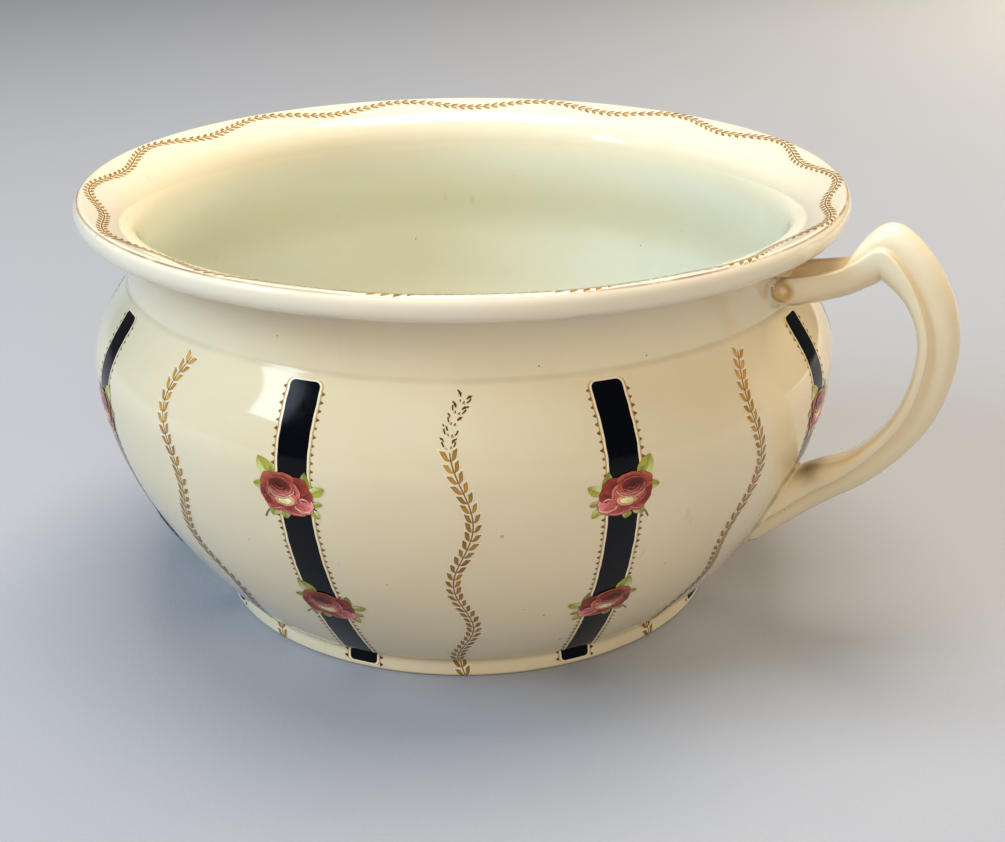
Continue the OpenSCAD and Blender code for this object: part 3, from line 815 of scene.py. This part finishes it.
        # Amber along the groove, partly pooled glaze and partly painted shade of the groove.
        groove = bell(aside / width, 0.73, 0.07) * (out > -0.0015)
        zone[:, 0] = np.clip(0.26 * trough + amber + 0.22 * groove, 0, 1)
        pool_ring = bell(pool, 1.02, 0.17) * np.clip((0.1095 - x) / 0.002, 0.1, 1)
        seam = bell(np.clip(gap, 0, None), 0, self.seam_dirt) * (z < h.bow)
        blot = spot((x, self.blot_x, self.blot_wide), (z, self.blot_z, self.blot_high))
        (notch_x, notch_y, notch_z), (wide, deep, high) = self.notch_place, self.notch_size
        notch = spot((x, notch_x, wide), (z, notch_z, high), (y, notch_y, deep))
        brink = bell(aside / width, 0.80, 0.08) * np.clip((0.25 - share) / 0.08, 0, 1)
        zone[:, 2] = np.clip(
            0.9 * pool_ring + 0.55 * seam + 0.85 * blot + 0.7 * notch
            + 0.55 * brink * (out > 0) + 0.3 * trough, 0, 1)
        return zone

    def execute(self, context):
        p, h, _, _ = sizes(context)
        shape = Profile(p)
        spine = self.spine(self.stations(p, h, shape))
        # Softer headings keep the section planes from crossing at the hump.
        way = soften(directions(spine[:, :2]), self.heading_spread)
        way /= np.linalg.norm(way, axis=1)[:, None]
        parts = [self.section(*station[2:]) for station in spine]
        rings = []
        for station, part, d in zip(spine, parts, way):
            flat = station[:2] + part[:, :1] * [-d[1], d[0]]
            rings.append(np.stack([flat[:, 0], part[:, 1], flat[:, 1]], 1))
        rings = soften(np.array(rings), self.ring_spread)
        pool = self.pool(h, rings)
        dent = self.pool_dent * bell(pool, 0, 0.7) - self.pool_brim * bell(pool, 1.05, 0.22)
        rings[..., 1] -= np.sign(rings[..., 1]) * dent
        reach = np.hypot(rings[..., 0], rings[..., 1])
        gaps = reach - shape.outer_radius(rings[..., 2])
        # Both ends stop inside the pot's wall.
        too_deep = np.clip(-0.5 * p.wall - gaps, 0, None)
        rings[..., :2] *= (1 + too_deep / reach)[..., None]
        gaps += too_deep
        zones = np.array([
            self.stains(h, ring, part, gap, k / (len(spine) - 1), spine[k, 2])
            for k, (ring, part, gap) in enumerate(zip(rings, parts, gaps))])
        work = Patchwork()
        base = work.grid(rings, zones, wrap=True)
        n, m = rings.shape[:2]
        work.fan([base + j for j in reversed(range(m))], rings[0].mean(0), (0, 0, 0, 0))
        work.fan([base + (n - 1) * m + j for j in range(m)], rings[-1].mean(0), (0, 0, 0, 0))
        self.seam(work, h, shape, rings, gaps, 0.3)
        self.seam(work, h, shape, rings[::-1], gaps[::-1], 0.95)
        work.build("Handle", ["Handle glaze"], "zone", ["handle"])
        return {"FINISHED"}


class POT_OT_ribbons(bpy.types.Operator):
    """Lays the dark ribbons, with their pale lines and rows of beads"""
    bl_idname = "pot.build_ribbons"
    bl_label = "Build ribbons"

    # Gap under the shoulder line, height of the end on the foot, and the corners' radii there.
    top_gap, foot_end = 0.0018, 0.002
    top_corner, foot_corner = 0.0016, 0.0012
    # The first ribbon is left out behind the handle's lower arm, in shares of the arm's rise.
    covered_above, covered_below = 0.28, 0.2
    tan_width, tan_tint = 0.0004, (0.56, 0.33, 0.11)
    tan_lift, line_lift, ribbon_lift = 0.00003, 0.00005, 0.00008
    # Beads: size, gap to the line, stagger of one side, start and end, lifts and tint.
    bead_size, bead_gap, bead_stagger = 0.00046, 0.0006, 0.0009
    bead_start, bead_end = 0.0022, 0.0008
    bead_foot, bead_top = 0.00006, 0.00012
    bead_tint = (0.16, 0.095, 0.036)

    def strip(self, work, skin, bearing, side, ends, half, corners, lift, slot, colour):
        """A strip between two ends [s], each with its own corner radius; side gives its middle."""
        columns = 9
        bend = 1 - np.cos(np.linspace(0, math.pi / 2, 7))
        knots = skin.s[(skin.s > ends[0]) & (skin.s < ends[1])]
        s = np.unique(np.concatenate([ends[0] + corners[0] * bend, knots, ends[1] - corners[1] * bend]))
        wide = np.full(len(s), half)
        for end, corner in zip(ends, corners):
            if corner:
                inset = np.clip(1 - np.abs(s - end) / corner, 0, 1)
                wide -= corner * (1 - np.sqrt(1 - inset**2))
        waver = 0.00007 * np.sin(900 * s + 40 * bearing) * np.sin(310 * s + 7 * bearing)
        v = np.linspace(-1, 1, columns)[None, :] * (wide + waver)[:, None] + side(s)[:, None]
        points = skin.at(s[:, None] + 0 * v, v, bearing, lift)
        work.grid(points, np.tile((*colour, 1), (len(s), columns, 1)), slot)

    def bead(self, work, skin, bearing, s, v, size, hand):
        """A small bead with three lobes, raised in its middle."""
        a = np.radians(np.arange(0, 360, 30))
        wide = size * (1 + 0.32 * np.cos(3 * a))
        tone = (0.8 + 0.5 * hash01(int(s * 1e5), int(v * 1e5) + 9)) * (1 - 0.6 * s / skin.total)
        colour = np.array([*(c * tone for c in self.bead_tint), 1])
        out = v + hand * (0.95 * wide * np.cos(a) + 0.2 * size)
        rim = skin.at(s + wide * np.sin(a), out, bearing, self.bead_foot)
        base = work.loose(rim, np.tile(colour, (len(a), 1)))
        ring = [base + j for j in range(len(a))]
        work.fan(ring, skin.at(s, v, bearing, self.bead_top), colour * [1.4, 1.3, 1.2, 1], 2)

    def execute(self, context):
        p, h, t, _ = sizes(context)
        skin = Skin(Profile(p).belly[::-1])
        top = skin.height_to_s(p.shoulder_height - self.top_gap)
        foot = skin.height_to_s(self.foot_end)
        low = h.bow - h.lower_joint
        covered = (skin.height_to_s(h.lower_joint + self.covered_above * low),
                   skin.height_to_s(h.lower_joint - self.covered_below * low))
        white, tan, edge = (1.0, 1.0, 1.0), self.tan_width, t.line_width
        strips = (
            (t.ribbon_half + edge + tan, tan, self.tan_lift, 2, self.tan_tint),
            (t.ribbon_half + edge, tan, self.line_lift, 1, white),
            (t.ribbon_half, 0, self.ribbon_lift, 0, white))
        off = t.ribbon_half + edge + self.bead_gap
        for i in range(t.count):
            bearing = ribbon_bearing(t, i)
            runs = [("ribbon_%d" % (i + 1), top, foot)]
            if i == 0:
                runs = [("ribbon_1", top, covered[0]), ("ribbon_end", covered[1], foot)]

            def side(s):
                return ribbon_side(p, t, i, skin.height(s))

            for name, s0, s1 in runs:
                work = Patchwork()
                corners = (self.top_corner * (s0 == top), self.foot_corner * (s1 == foot))
                for half, grow, lift, slot, colour in strips:
                    ends = (s0 - grow * (s0 == top), s1 + grow * (s1 == foot))
                    rounded = tuple(c + 0.6 * grow * (c > 0) for c in corners)
                    self.strip(work, skin, bearing, side, ends, half, rounded, lift, slot, colour)
                for hand in (-1, 1):
                    places = np.arange(s0 + self.bead_start, s1 - self.bead_end, t.bead_pitch)
                    for k, s in enumerate(places):
                        size = self.bead_size * (0.8 + 0.4 * hash01(i, k, hand + 3))
                        at = s + self.bead_stagger * (hand > 0)
                        self.bead(work, skin, bearing, at, hand * off + float(side(at)), size, hand)
                work.build(name.capitalize(), ["Ribbon enamel", "Pale line", "Laurel print"],
                           "paint", [name])
        return {"FINISHED"}


class POT_OT_roses(bpy.types.Operator):
    """Paints the rose sprays as layered petals and leaves"""
    bl_idname = "pot.build_roses"
    bl_label = "Build roses"

    heart, deep, crimson = (0.085, 0.012, 0.008), (0.18, 0.022, 0.016), (0.34, 0.046, 0.032)
    terracotta, rose, mauve = (0.55, 0.125, 0.068), (0.70, 0.22, 0.15), (0.58, 0.125, 0.125)
    pink, blush, cream = (0.82, 0.30, 0.28), (0.95, 0.56, 0.42), (0.97, 0.78, 0.40)
    # A petal is [centre x, centre y, half width, half height, turn, inner colour, outer colour].
    # The unit is the rose's mean radius, with x right and y up. A petal that is only an edge
    # goes on with its [start, end, inner share], in degrees and as a share of its size.
    petals = [
        (0.62, -0.40, 0.44, 0.44, -15, mauve, pink),
        (0.12, -0.68, 0.64, 0.28, -8, crimson, mauve),
        (-0.48, -0.50, 0.46, 0.34, 30, crimson, mauve),
        (-0.82, -0.14, 0.30, 0.48, 14, deep, crimson),
        (-0.78, -0.36, 0.24, 0.24, 0, deep, crimson),
        (0.74, 0.08, 0.28, 0.34, 0, deep, crimson),
        (0.46, 0.42, 0.44, 0.38, -20, deep, crimson),
        (-0.66, 0.42, 0.42, 0.46, 30, crimson, terracotta),
        (-0.18, 0.64, 0.52, 0.30, 0, deep, terracotta),
        (0.62, -0.40, 0.40, 0.38, -15, mauve, blush, 215, 380, 0.70),
        (0.52, -0.46, 0.30, 0.26, -30, pink, blush, 190, 320, 0.74),
        (0.66, -0.28, 0.24, 0.18, -10, pink, blush, 20, 170, 0.66),
        (0.10, -0.70, 0.54, 0.20, -8, mauve, pink, 200, 345, 0.70),
        (-0.50, -0.52, 0.38, 0.24, 30, mauve, pink, 200, 330, 0.72),
        (-0.18, 0.06, 0.72, 0.68, 0, terracotta, crimson),
        (-0.18, 0.06, 0.71, 0.67, 0, crimson, rose, -75, 45, 0.62),
        (-0.18, 0.06, 0.71, 0.67, 0, crimson, terracotta, 135, 250, 0.66),
        (-0.12, 0.04, 0.56, 0.58, 0, deep, rose, -60, 30, 0.72),
        (-0.22, 0.06, 0.58, 0.56, 0, deep, rose, 150, 240, 0.76),
        (-0.12, -0.20, 0.56, 0.36, 4, rose, terracotta),
        (-0.10, -0.28, 0.44, 0.26, 5, cream, rose),
        (-0.10, -0.30, 0.29, 0.15, 5, cream, cream),
        (-0.24, 0.26, 0.58, 0.46, 4, crimson, blush, 180, 358, 0.76),
        (-0.24, 0.32, 0.49, 0.39, 2, crimson, pink, 184, 352, 0.72),
        (-0.28, 0.42, 0.42, 0.31, -6, heart, deep),
        (-0.28, 0.46, 0.44, 0.30, -6, deep, terracotta, 15, 165, 0.74),
        (-0.26, 0.38, 0.36, 0.27, -4, heart, rose, 190, 344, 0.74),
        (-0.26, 0.42, 0.24, 0.17, -4, heart, terracotta, 200, 330, 0.74),
    ]
    # A leaf is [base x, base y, angle, length, half width, shade].
    leaves = [
        (0.70, 0.10, 86, 0.98, 0.22, 0.72), (-0.60, 0.56, 118, 1.08, 0.35, 1.0),
        (-0.62, 0.56, 98, 0.56, 0.18, 0.72), (-0.90, 0.18, 176, 0.56, 0.21, 0.85),
        (-0.50, -0.62, 238, 0.62, 0.24, 0.85), (-0.22, -0.80, 282, 0.42, 0.20, 0.75),
        (0.90, 0.14, 28, 0.70, 0.22, 1.0), (0.98, -0.28, -4, 0.40, 0.13, 0.75),
        (0.90, -0.56, -52, 0.52, 0.17, 0.95),
    ]
    leaf_green, leaf_pale, leaf_dark = row((0.48, 0.46, 0.045), (0.84, 0.86, 0.36), (0.14, 0.13, 0.018))
    # A stem is a curve with its half width.
    stems = [
        (bezier((-0.5, -0.6), (-0.8, -0.8), (-1.0, -1.0), (-1.12, -1.35), 10), 0.035),
        (bezier((0.4, -0.7), (0.7, -0.8), (0.9, -0.75), (1.2, -0.95), 8), 0.03),
    ]
    stem_brown = (0.20, 0.12, 0.04, 1.0)
    # The print is a little narrower and flatter than drawn; each layer lies over the one before.
    squeeze_x, squeeze_y = 0.95, 0.88
    first_lift, layer_lift = 0.00010, 0.000012

    def petal(self, work, lay, level, spec, key):
        cx, cy, rx, ry, turn, near, far, *edge = spec
        closed = not edge
        start, end, inner = edge or (0, 360, 0)
        n, m = (30, 6) if closed else (20, 5)
        a = np.radians(np.linspace(start, end, n + 1))
        k = np.linspace(0, 1, m)
        if closed:
            inside = np.full(n + 1, 0.02)
        else:
            inside = 1 - (1 - inner) * np.power(np.sin(np.linspace(0, math.pi, n + 1)), 0.7).clip(0)
        frill = 1 + 0.045 * np.sin(3 * a + key) + 0.03 * np.sin(7 * a + 2.3 * key)
        rad = (inside[:, None] + (1 - inside[:, None]) * k) * frill[:, None]
        c, s = math.cos(math.radians(turn)), math.sin(math.radians(turn))
        blend = (k ** (1.6 if closed else 0.9))[None, :, None]
        colour = np.array(near) * (1 - blend) + np.array(far) * blend
        brush = 1 + 0.16 * np.sin(a + 0.9) + 0.22 * np.sin(11 * a + key) * np.sin(5 * a + 3 * key)
        shade = np.full((n + 1, m, 3), self.deep)
        # A slightly larger dark copy lies under each petal as its outline.
        for grow, lower, tone in ((0.018, 0.5, shade), (0.0, 0.0, colour * brush[:, None, None])):
            x, y = (rx + grow) * rad * np.cos(a)[:, None], (ry + grow) * rad * np.sin(a)[:, None]
            x, y = cx + c * x - s * y, cy + s * x + c * y
            lit = 1.04 - 0.14 * np.clip(y - 0.4 * x, -1, 1)[..., None]
            lay(work, x, y, level - lower, opaque(np.clip(tone * lit, 0, 1)))

    def leaf(self, work, lay, level, spec, key):
        x0, y0, angle, size, half, shade = spec
        t = np.linspace(0, 1, 11)
        k = np.linspace(-1, 1, 7)
        wide = half * np.power(np.sin(np.pi * t ** 0.85), 0.8).clip(0)
        bend = 0.10 * math.sin(key * 2.1) * t * t
        reach, side = size * t[:, None] + 0 * k, wide[:, None] * k + (size * bend)[:, None]
        a = math.radians(angle)
        rib = bell(k, 0, 0.16)[None, :]
        lit = (0.5 + 0.5 * np.tanh(3 * k))[None, :]
        tip = (t**3)[:, None]
        colour = self.leaf_green + (self.leaf_pale - self.leaf_green) * (0.75 * lit * (1 - tip))[..., None]
        darker = np.clip(0.55 * rib * (1 - tip) + 0.55 * tip, 0, 1)[..., None]
        colour = colour + (self.leaf_dark - colour) * darker
        lay(work, x0 + reach * math.cos(a) - side * math.sin(a),
            y0 + reach * math.sin(a) + side * math.cos(a), level, opaque(colour * shade))

    def stem(self, work, lay, path, half):
        d = directions(path)
        side = np.stack([-d[:, 1], d[:, 0]], 1) * half
        x, y = (np.stack([path[:, c] - side[:, c], path[:, c] + side[:, c]], 1) for c in (0, 1))
        lay(work, x, y, 0, np.tile(self.stem_brown, (len(path), 2, 1)))

    def execute(self, context):
        p, _, t, _ = sizes(context)
        skin = Skin(Profile(p).belly[::-1])
        # A kind of spray is [name, height, turn, share of the slip, tone]; the lower sprays' darker tone
        # is painted shade.
        kinds = (("upper", t.upper_rose, 0, 1, 0.94), ("lower", t.lower_rose, -10, -0.5, 0.74))
        for i in range(t.count):
            bearing = ribbon_bearing(t, i)
            flip = 1 if i % 2 == 0 else -1
            for name, height, turn, slip, least_tone in kinds:
                node = "%s_rose_%d" % (name, i + 1)
                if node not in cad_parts:
                    continue
                s0 = skin.height_to_s(height)
                aside = slip * t.rose_slip[i] + ribbon_side(p, t, i, height)
                c, s = math.cos(math.radians(turn)), math.sin(math.radians(turn))
                tone = least_tone + 0.08 * hash01(i, turn + 40)

                def lay(work, x, y, level, colour):
                    u, w = (c * x - s * y) * self.squeeze_x, (s * x + c * y) * self.squeeze_y
                    v = flip * u * t.rose_radius + aside
                    lift = self.first_lift + level * self.layer_lift
                    grid = skin.at(s0 - w * t.rose_radius, v, bearing, lift)
                    colour = colour * [tone, tone, tone, 1]
                    if flip < 0:
                        grid, colour = grid[:, ::-1], colour[:, ::-1]
                    work.grid(grid[::-1], colour[::-1])

                work = Patchwork()
                for path, half in self.stems:
                    self.stem(work, lay, path, half)
                for k, spec in enumerate(self.leaves):
                    self.leaf(work, lay, 1 + k, spec, i + k)
                for k, spec in enumerate(self.petals):
                    self.petal(work, lay, 10 + k, spec, k + 1.7 * i)
                work.build(node.capitalize(), ["Rose print"], "paint", [node])
        return {"FINISHED"}


class Laurel:
    """A stem with pairs of flame-shaped leaves, each leaf with a pale halo under it."""

    whole, rubbed, gone = range(3)
    body, dark, pale = row((0.66, 0.34, 0.065), (0.20, 0.080, 0.014), (0.97, 0.98, 0.98))
    steps = 8
    halo_growth = 1.34
    stem_half, stem_halo = 0.00019, 0.00048
    stem_halo_lift, halo_lift, stem_lift, leaf_lift = 0.00003, 0.00004, 0.00007, 0.00009
    # The strokes that are left of a rubbed leaf, as [first row, row past the last, column].
    strokes = ((0, 3, 2), (3, 7, 2), (7, 9, 2), (1, 4, 0), (5, 9, 0), (6, 9, 1))
    stroke_share, stroke_tone = 0.84, 0.6

    def __init__(self, scale):
        # A leaf as [along, out]: it grows from the stem and ends in a slanted edge, tip outwards.
        n = self.steps
        inner = bezier((-0.12, 0.08), (0.4, 0.50), (1.7, 0.66), (2.45, 1.00), n) * MM * scale
        outer = bezier((-0.12, 0.08), (-0.2, 1.75), (1.4, 1.90), (2.95, 2.28), n) * MM * scale

        def between(*shares):
            shares = np.array(shares)[None, :, None]
            return inner[:, None] * (1 - shares) + outer[:, None] * shares

        self.leaf = between(0, 0.25, 0.55, 0.8, 1.0)
        self.edges = between(0, 0.36, 0.66, 1.0)
        middle = self.leaf.mean((0, 1))
        self.halo = middle + (self.leaf[:, ::2] - middle) * self.halo_growth
        rimmed = np.array([0.45, 0.15, 0.0, 0.15, 0.55])[None, :, None]
        tips = (np.abs(np.linspace(-1, 1, n + 1)) ** 4)[:, None, None] * 0.4
        self.shading = self.body + (self.dark - self.body) * np.clip(rimmed + tips, 0, 1)

    def layers(self, state, tone, k, hand):
        """What is printed of a leaf: [form, colours, lift, material number] from below."""
        if state == self.rubbed:
            return [(self.edges[a:b, side:side + 2],
                     np.tile(self.dark * self.stroke_tone, (b - a, 2, 1)), self.leaf_lift, 0)
                    for a, b, side in self.strokes
                    if hash01(k, a, side, hand + 2) < self.stroke_share]
        halo = np.tile(self.pale, (self.steps + 1, 3, 1))
        return [(self.halo, halo, self.halo_lift, 1), (self.leaf, self.shading * tone, self.leaf_lift, 0)]

    def lay(self, work, skin, bearing, places, pitch, key, state_at, fade_at):
        """Along places [s, v]; state_at gives a leaf's wear, and fade_at its tone by share."""
        step = distances(places)
        way = directions(places)
        beside = np.stack([-way[:, 1], way[:, 0]], 1)
        kept = np.array([state_at(place[0], 1.0) == self.whole for place in places])
        for half, lift, colour, slot in (
                (self.stem_halo, self.stem_halo_lift, self.pale, 1),
                (self.stem_half, self.stem_lift, self.dark * 1.25, 0)):
            edge = np.stack([places - beside * half, places + beside * half], 1)[kept]
            points = skin.at(edge[..., 0], edge[..., 1], bearing, lift)
            work.grid(points, np.tile((*colour, 1), (len(edge), 2, 1)), slot)
        count = int(step[-1] / pitch)
        for k, s in enumerate(np.linspace(step[0], step[-1], count + 1)[1:]):
            c = along(s, step, places)
            d = -along(s, step, way)
            d /= np.linalg.norm(d)
            across = np.array([-d[1], d[0]])
            for hand in (-1, 1):
                chance = hash01(key, k, hand + 5)
                state = state_at(c[0], chance)
                if state == self.gone:
                    continue
                tone = (0.75 + 0.45 * hash01(key + 3, k, hand + 8)) * fade_at(s / step[-1])
                for form, colour, lift, slot in self.layers(state, tone, k, hand):
                    form = form * (0.93 + 0.14 * chance)
                    place = c + form[..., :1] * d + hand * form[..., 1:] * across
                    grid = skin.at(place[..., 0], place[..., 1], bearing, lift)
                    colour = opaque(colour)
                    if hand > 0:
                        grid, colour = grid[::-1], colour[::-1]
                    work.grid(grid, colour, slot)


class POT_OT_laurels(bpy.types.Operator):
    """Lays the laurel trails between the ribbons"""
    bl_idname = "pot.build_laurels"
    bl_label = "Build laurel trails"

    # Gaps at the top and the foot, and where the wave has its first crest.
    top_gap, foot_gap, first_crest = 0.0024, 0.0012, 0.0168
    # Wear, by distance from the top: no leaf before bare, only strokes of leaves before rubbed,
    # and none of those whose chance is over lost_chance. One trail is worn further than the rest.
    worn_trail, worn_bare, worn_rubbed = 6, 0.0048, 0.0180
    other_rubbed, lost_chance = 0.003, 0.94
    # A trail is lightest at its top and darkens to this tone within about this share of it.
    least_tone, fade_share = 0.55, 0.24

    def fade_at(self, share):
        return self.least_tone + (1 - self.least_tone) * math.exp(-((share / self.fade_share) ** 2))

    def execute(self, context):
        p, _, t, _ = sizes(context)
        skin = Skin(Profile(p).belly[::-1])
        s = np.linspace(self.top_gap, skin.total - self.foot_gap, 240)
        swing = t.trail_swing * (1 - 0.3 * s / skin.total)
        v = -swing * np.cos(2 * math.pi * (s - self.first_crest) / t.trail_wave)
        trail = Laurel(1.0)
        for i in range(t.count):
            worn = i == self.worn_trail
            bare, rubbed = (self.worn_bare, self.worn_rubbed) if worn else (0.0, self.other_rubbed)

            def state_at(s_here, chance):
                if s_here < bare or (s_here < rubbed and chance > self.lost_chance):
                    return Laurel.gone
                return Laurel.rubbed if s_here < rubbed else Laurel.whole

            work = Patchwork()
            trail.lay(work, skin, trail_bearing(t, i), np.stack([s, v], 1), t.leaf_pitch, i,
                      state_at, self.fade_at)
            node = "laurel_trail_%d" % (i + 1)
            work.build(node.capitalize(), ["Laurel print", "Pale line"],
                       "paint", [node])
        return {"FINISHED"}


class POT_OT_garland(bpy.types.Operator):
    """Lays the leaf garland round the lip"""
    bl_idname = "pot.build_garland"
    bl_label = "Build garland"

    # Its leaves are smaller than a trail's and all of one darkness.
    leaf_scale, tone, key = 0.80, 0.6, 21

    def execute(self, context):
        p, _, t, _ = sizes(context)
        shape = Profile(p)
        middle = distances(shape.lip)[-1] - t.garland_in
        skin = Lip(np.concatenate([shape.lip[::-1], shape.roll[::-1][1:20]]), middle)
        a = np.linspace(0, 2 * math.pi, 1400)
        wave = t.garland_waves * (a - t.garland_turn - t.garland_lead * np.cos(a - t.garland_lead_at))
        s = middle - t.garland_swing * np.cos(wave) + t.garland_off * np.cos(a - t.garland_off_at)
        work = Patchwork()
        Laurel(self.leaf_scale).lay(
            work, skin, 0, np.stack([s, a * skin.mean], 1), t.leaf_pitch, self.key,
            lambda s_here, chance: Laurel.whole, lambda share: self.tone)
        work.build("Rim_garland", ["Laurel print", "Pale line"],
                   "paint", ["rim_garland"])
        return {"FINISHED"}


class POT_OT_stage(bpy.types.Operator):
    """Sets the plain floor, the soft lights and the camera"""
    bl_idname = "pot.build_stage"
    bl_label = "Build stage"

    floor_half = 4
    # A lamp is [name, place, target, size, energy, colour, shows in the glaze]. Places are turned
    # with the camera, x to its right and y away from it. Targets are not.
    lamps = (
        ("Overhead", (0.0, 0.15, 1.5), (0, 0, 0.08), (0.9, 0.8), 20, (1.0, 0.93, 0.82), True),
        ("Window", (-1.15, -0.62, 0.95), (0, 0, 0.09), (0.3, 0.44), 2.4, (0.70, 0.86, 1.0), True),
        ("Cold fill", (-1.7, -0.5, 1.3), (0, 0, 0.08), (1.2, 1.2), 38, (0.55, 0.77, 1.0), False),
        ("Front fill", (0.4, -2.1, 1.6), (0, 0, 0.07), (2.4, 1.8), 40, (1.0, 0.90, 0.73), False),
        ("Side fill", (1.1, 1.0, 0.5), (0.05, 0, 0.07), (1.2, 0.8), 24, (1.0, 0.86, 0.62), False),
    )
    ambient_tint, ambient_strength = (0.62, 0.60, 0.60, 1), 0.15

    def lamp(self, name, place, target, size, energy, colour, mirrored):
        data = bpy.data.lights.new(name, "AREA")
        data.shape = "RECTANGLE"
        data.size, data.size_y = size
        data.energy = energy
        data.color = colour
        lamp = new_object(name, data)
        lamp.location = place
        lamp.visible_glossy = mirrored
        lamp.rotation_euler = (Vector(target) - place).to_track_quat("-Z", "Y").to_euler()

    def floor_material(self, colour):
        material, g, shader = new_material("Pale floor")
        place = g.place()
        cloud = g.noise(place, 3.0, 3.0)
        grain = g.noise(place, 900.0, 2.0)
        shade = g.mix(g.ramp(cloud, 0.3, 0.7, 0.0, 0.25), colour, [0.92 * c for c in colour])
        shade = g.mix(g.ramp(grain, 0.3, 0.7, 0.0, 0.12), shade, [0.85 * c for c in colour])
        bump = g.add("ShaderNodeBump", {"Height": grain, "Strength": 0.2, "Distance": 0.0004})
        for label, value in (
                ("Base Color", shade), ("Normal", bump.outputs["Normal"]), ("Roughness", 0.75)):
            g.feed(shader[label], value)
        return material

    def floor(self, colour):
        n = self.floor_half
        mesh = bpy.data.meshes.new("Floor")
        mesh.from_pydata([(-n, -n, 0), (n, -n, 0), (n, n, 0), (-n, n, 0)], [], [(0, 1, 2, 3)])
        mesh.materials.append(self.floor_material(colour))
        floor = new_object("Floor", mesh)

    def camera(self, stage):
        data = bpy.data.cameras.new("Camera")
        data.lens = stage.lens
        data.sensor_width = 36.0
        data.sensor_fit = "HORIZONTAL"
        data.clip_start, data.clip_end = 0.01, 50
        camera = new_object("Camera", data)
        turn = (Matrix.Rotation(stage.heading, 4, "Z")
                @ Matrix.Rotation(math.pi / 2 - stage.pitch, 4, "X")
                @ Matrix.Rotation(stage.roll, 4, "Z"))
        camera.matrix_world = Matrix.Translation(stage.camera) @ turn
        return camera

    def execute(self, context):
        _, _, _, stage = sizes(context)
        scene = context.scene
        self.floor(list(stage.floor_tint))
        scene.camera = self.camera(stage)
        scene.view_settings.view_transform = "Standard"
        view = Matrix.Rotation(stage.heading, 3, "Z")
        for name, place, *rest in self.lamps:
            self.lamp(name, view @ Vector(place), *rest)
        world = bpy.data.worlds.new("Soft room")
        scene.world = world
        world.use_nodes = True
        shade = world.node_tree.nodes["Background"]
        shade.inputs["Color"].default_value = self.ambient_tint
        shade.inputs["Strength"].default_value = self.ambient_strength
        return {"FINISHED"}


class POT_PT_panel(bpy.types.Panel):
    """Buttons and sizes for the chamber pot"""
    bl_idname = "POT_PT_panel"
    bl_label = "Chamber Pot"
    bl_space_type = "VIEW_3D"
    bl_region_type = "UI"
    bl_category = "Pot"

    def draw(self, context):
        for group in ("pot_sizes", "pot_handle", "pot_transfers", "pot_stage"):
            box = self.layout.box()
            settings = getattr(context.scene, group)
            for key in settings.__annotations__:
                box.prop(settings, key)
        for step in STEPS:
            self.layout.operator(step.bl_idname)


STEPS = (
    POT_OT_bowl, POT_OT_handle, POT_OT_ribbons, POT_OT_roses, POT_OT_laurels, POT_OT_garland,
    POT_OT_stage,
)
GROUPS = (
    ("pot_sizes", PotSizes), ("pot_handle", HandleSizes),
    ("pot_transfers", TransferSizes), ("pot_stage", StageSettings),
)


def register():
    for name, group in GROUPS:
        bpy.utils.register_class(group)
        setattr(bpy.types.Scene, name, bpy.props.PointerProperty(type=group))
    for step in STEPS:
        bpy.utils.register_class(step)
    bpy.utils.register_class(POT_PT_panel)


def unregister():
    bpy.utils.unregister_class(POT_PT_panel)
    for step in reversed(STEPS):
        bpy.utils.unregister_class(step)
    for name, group in reversed(GROUPS):
        delattr(bpy.types.Scene, name)
        bpy.utils.unregister_class(group)


def main():
    register()
    bpy.ops.pot.build_bowl()
    bpy.ops.pot.build_handle()
    bpy.ops.pot.build_ribbons()
    bpy.ops.pot.build_roses()
    bpy.ops.pot.build_laurels()
    bpy.ops.pot.build_garland()
    bpy.ops.pot.build_stage()


if __name__ == "__main__":
    main()
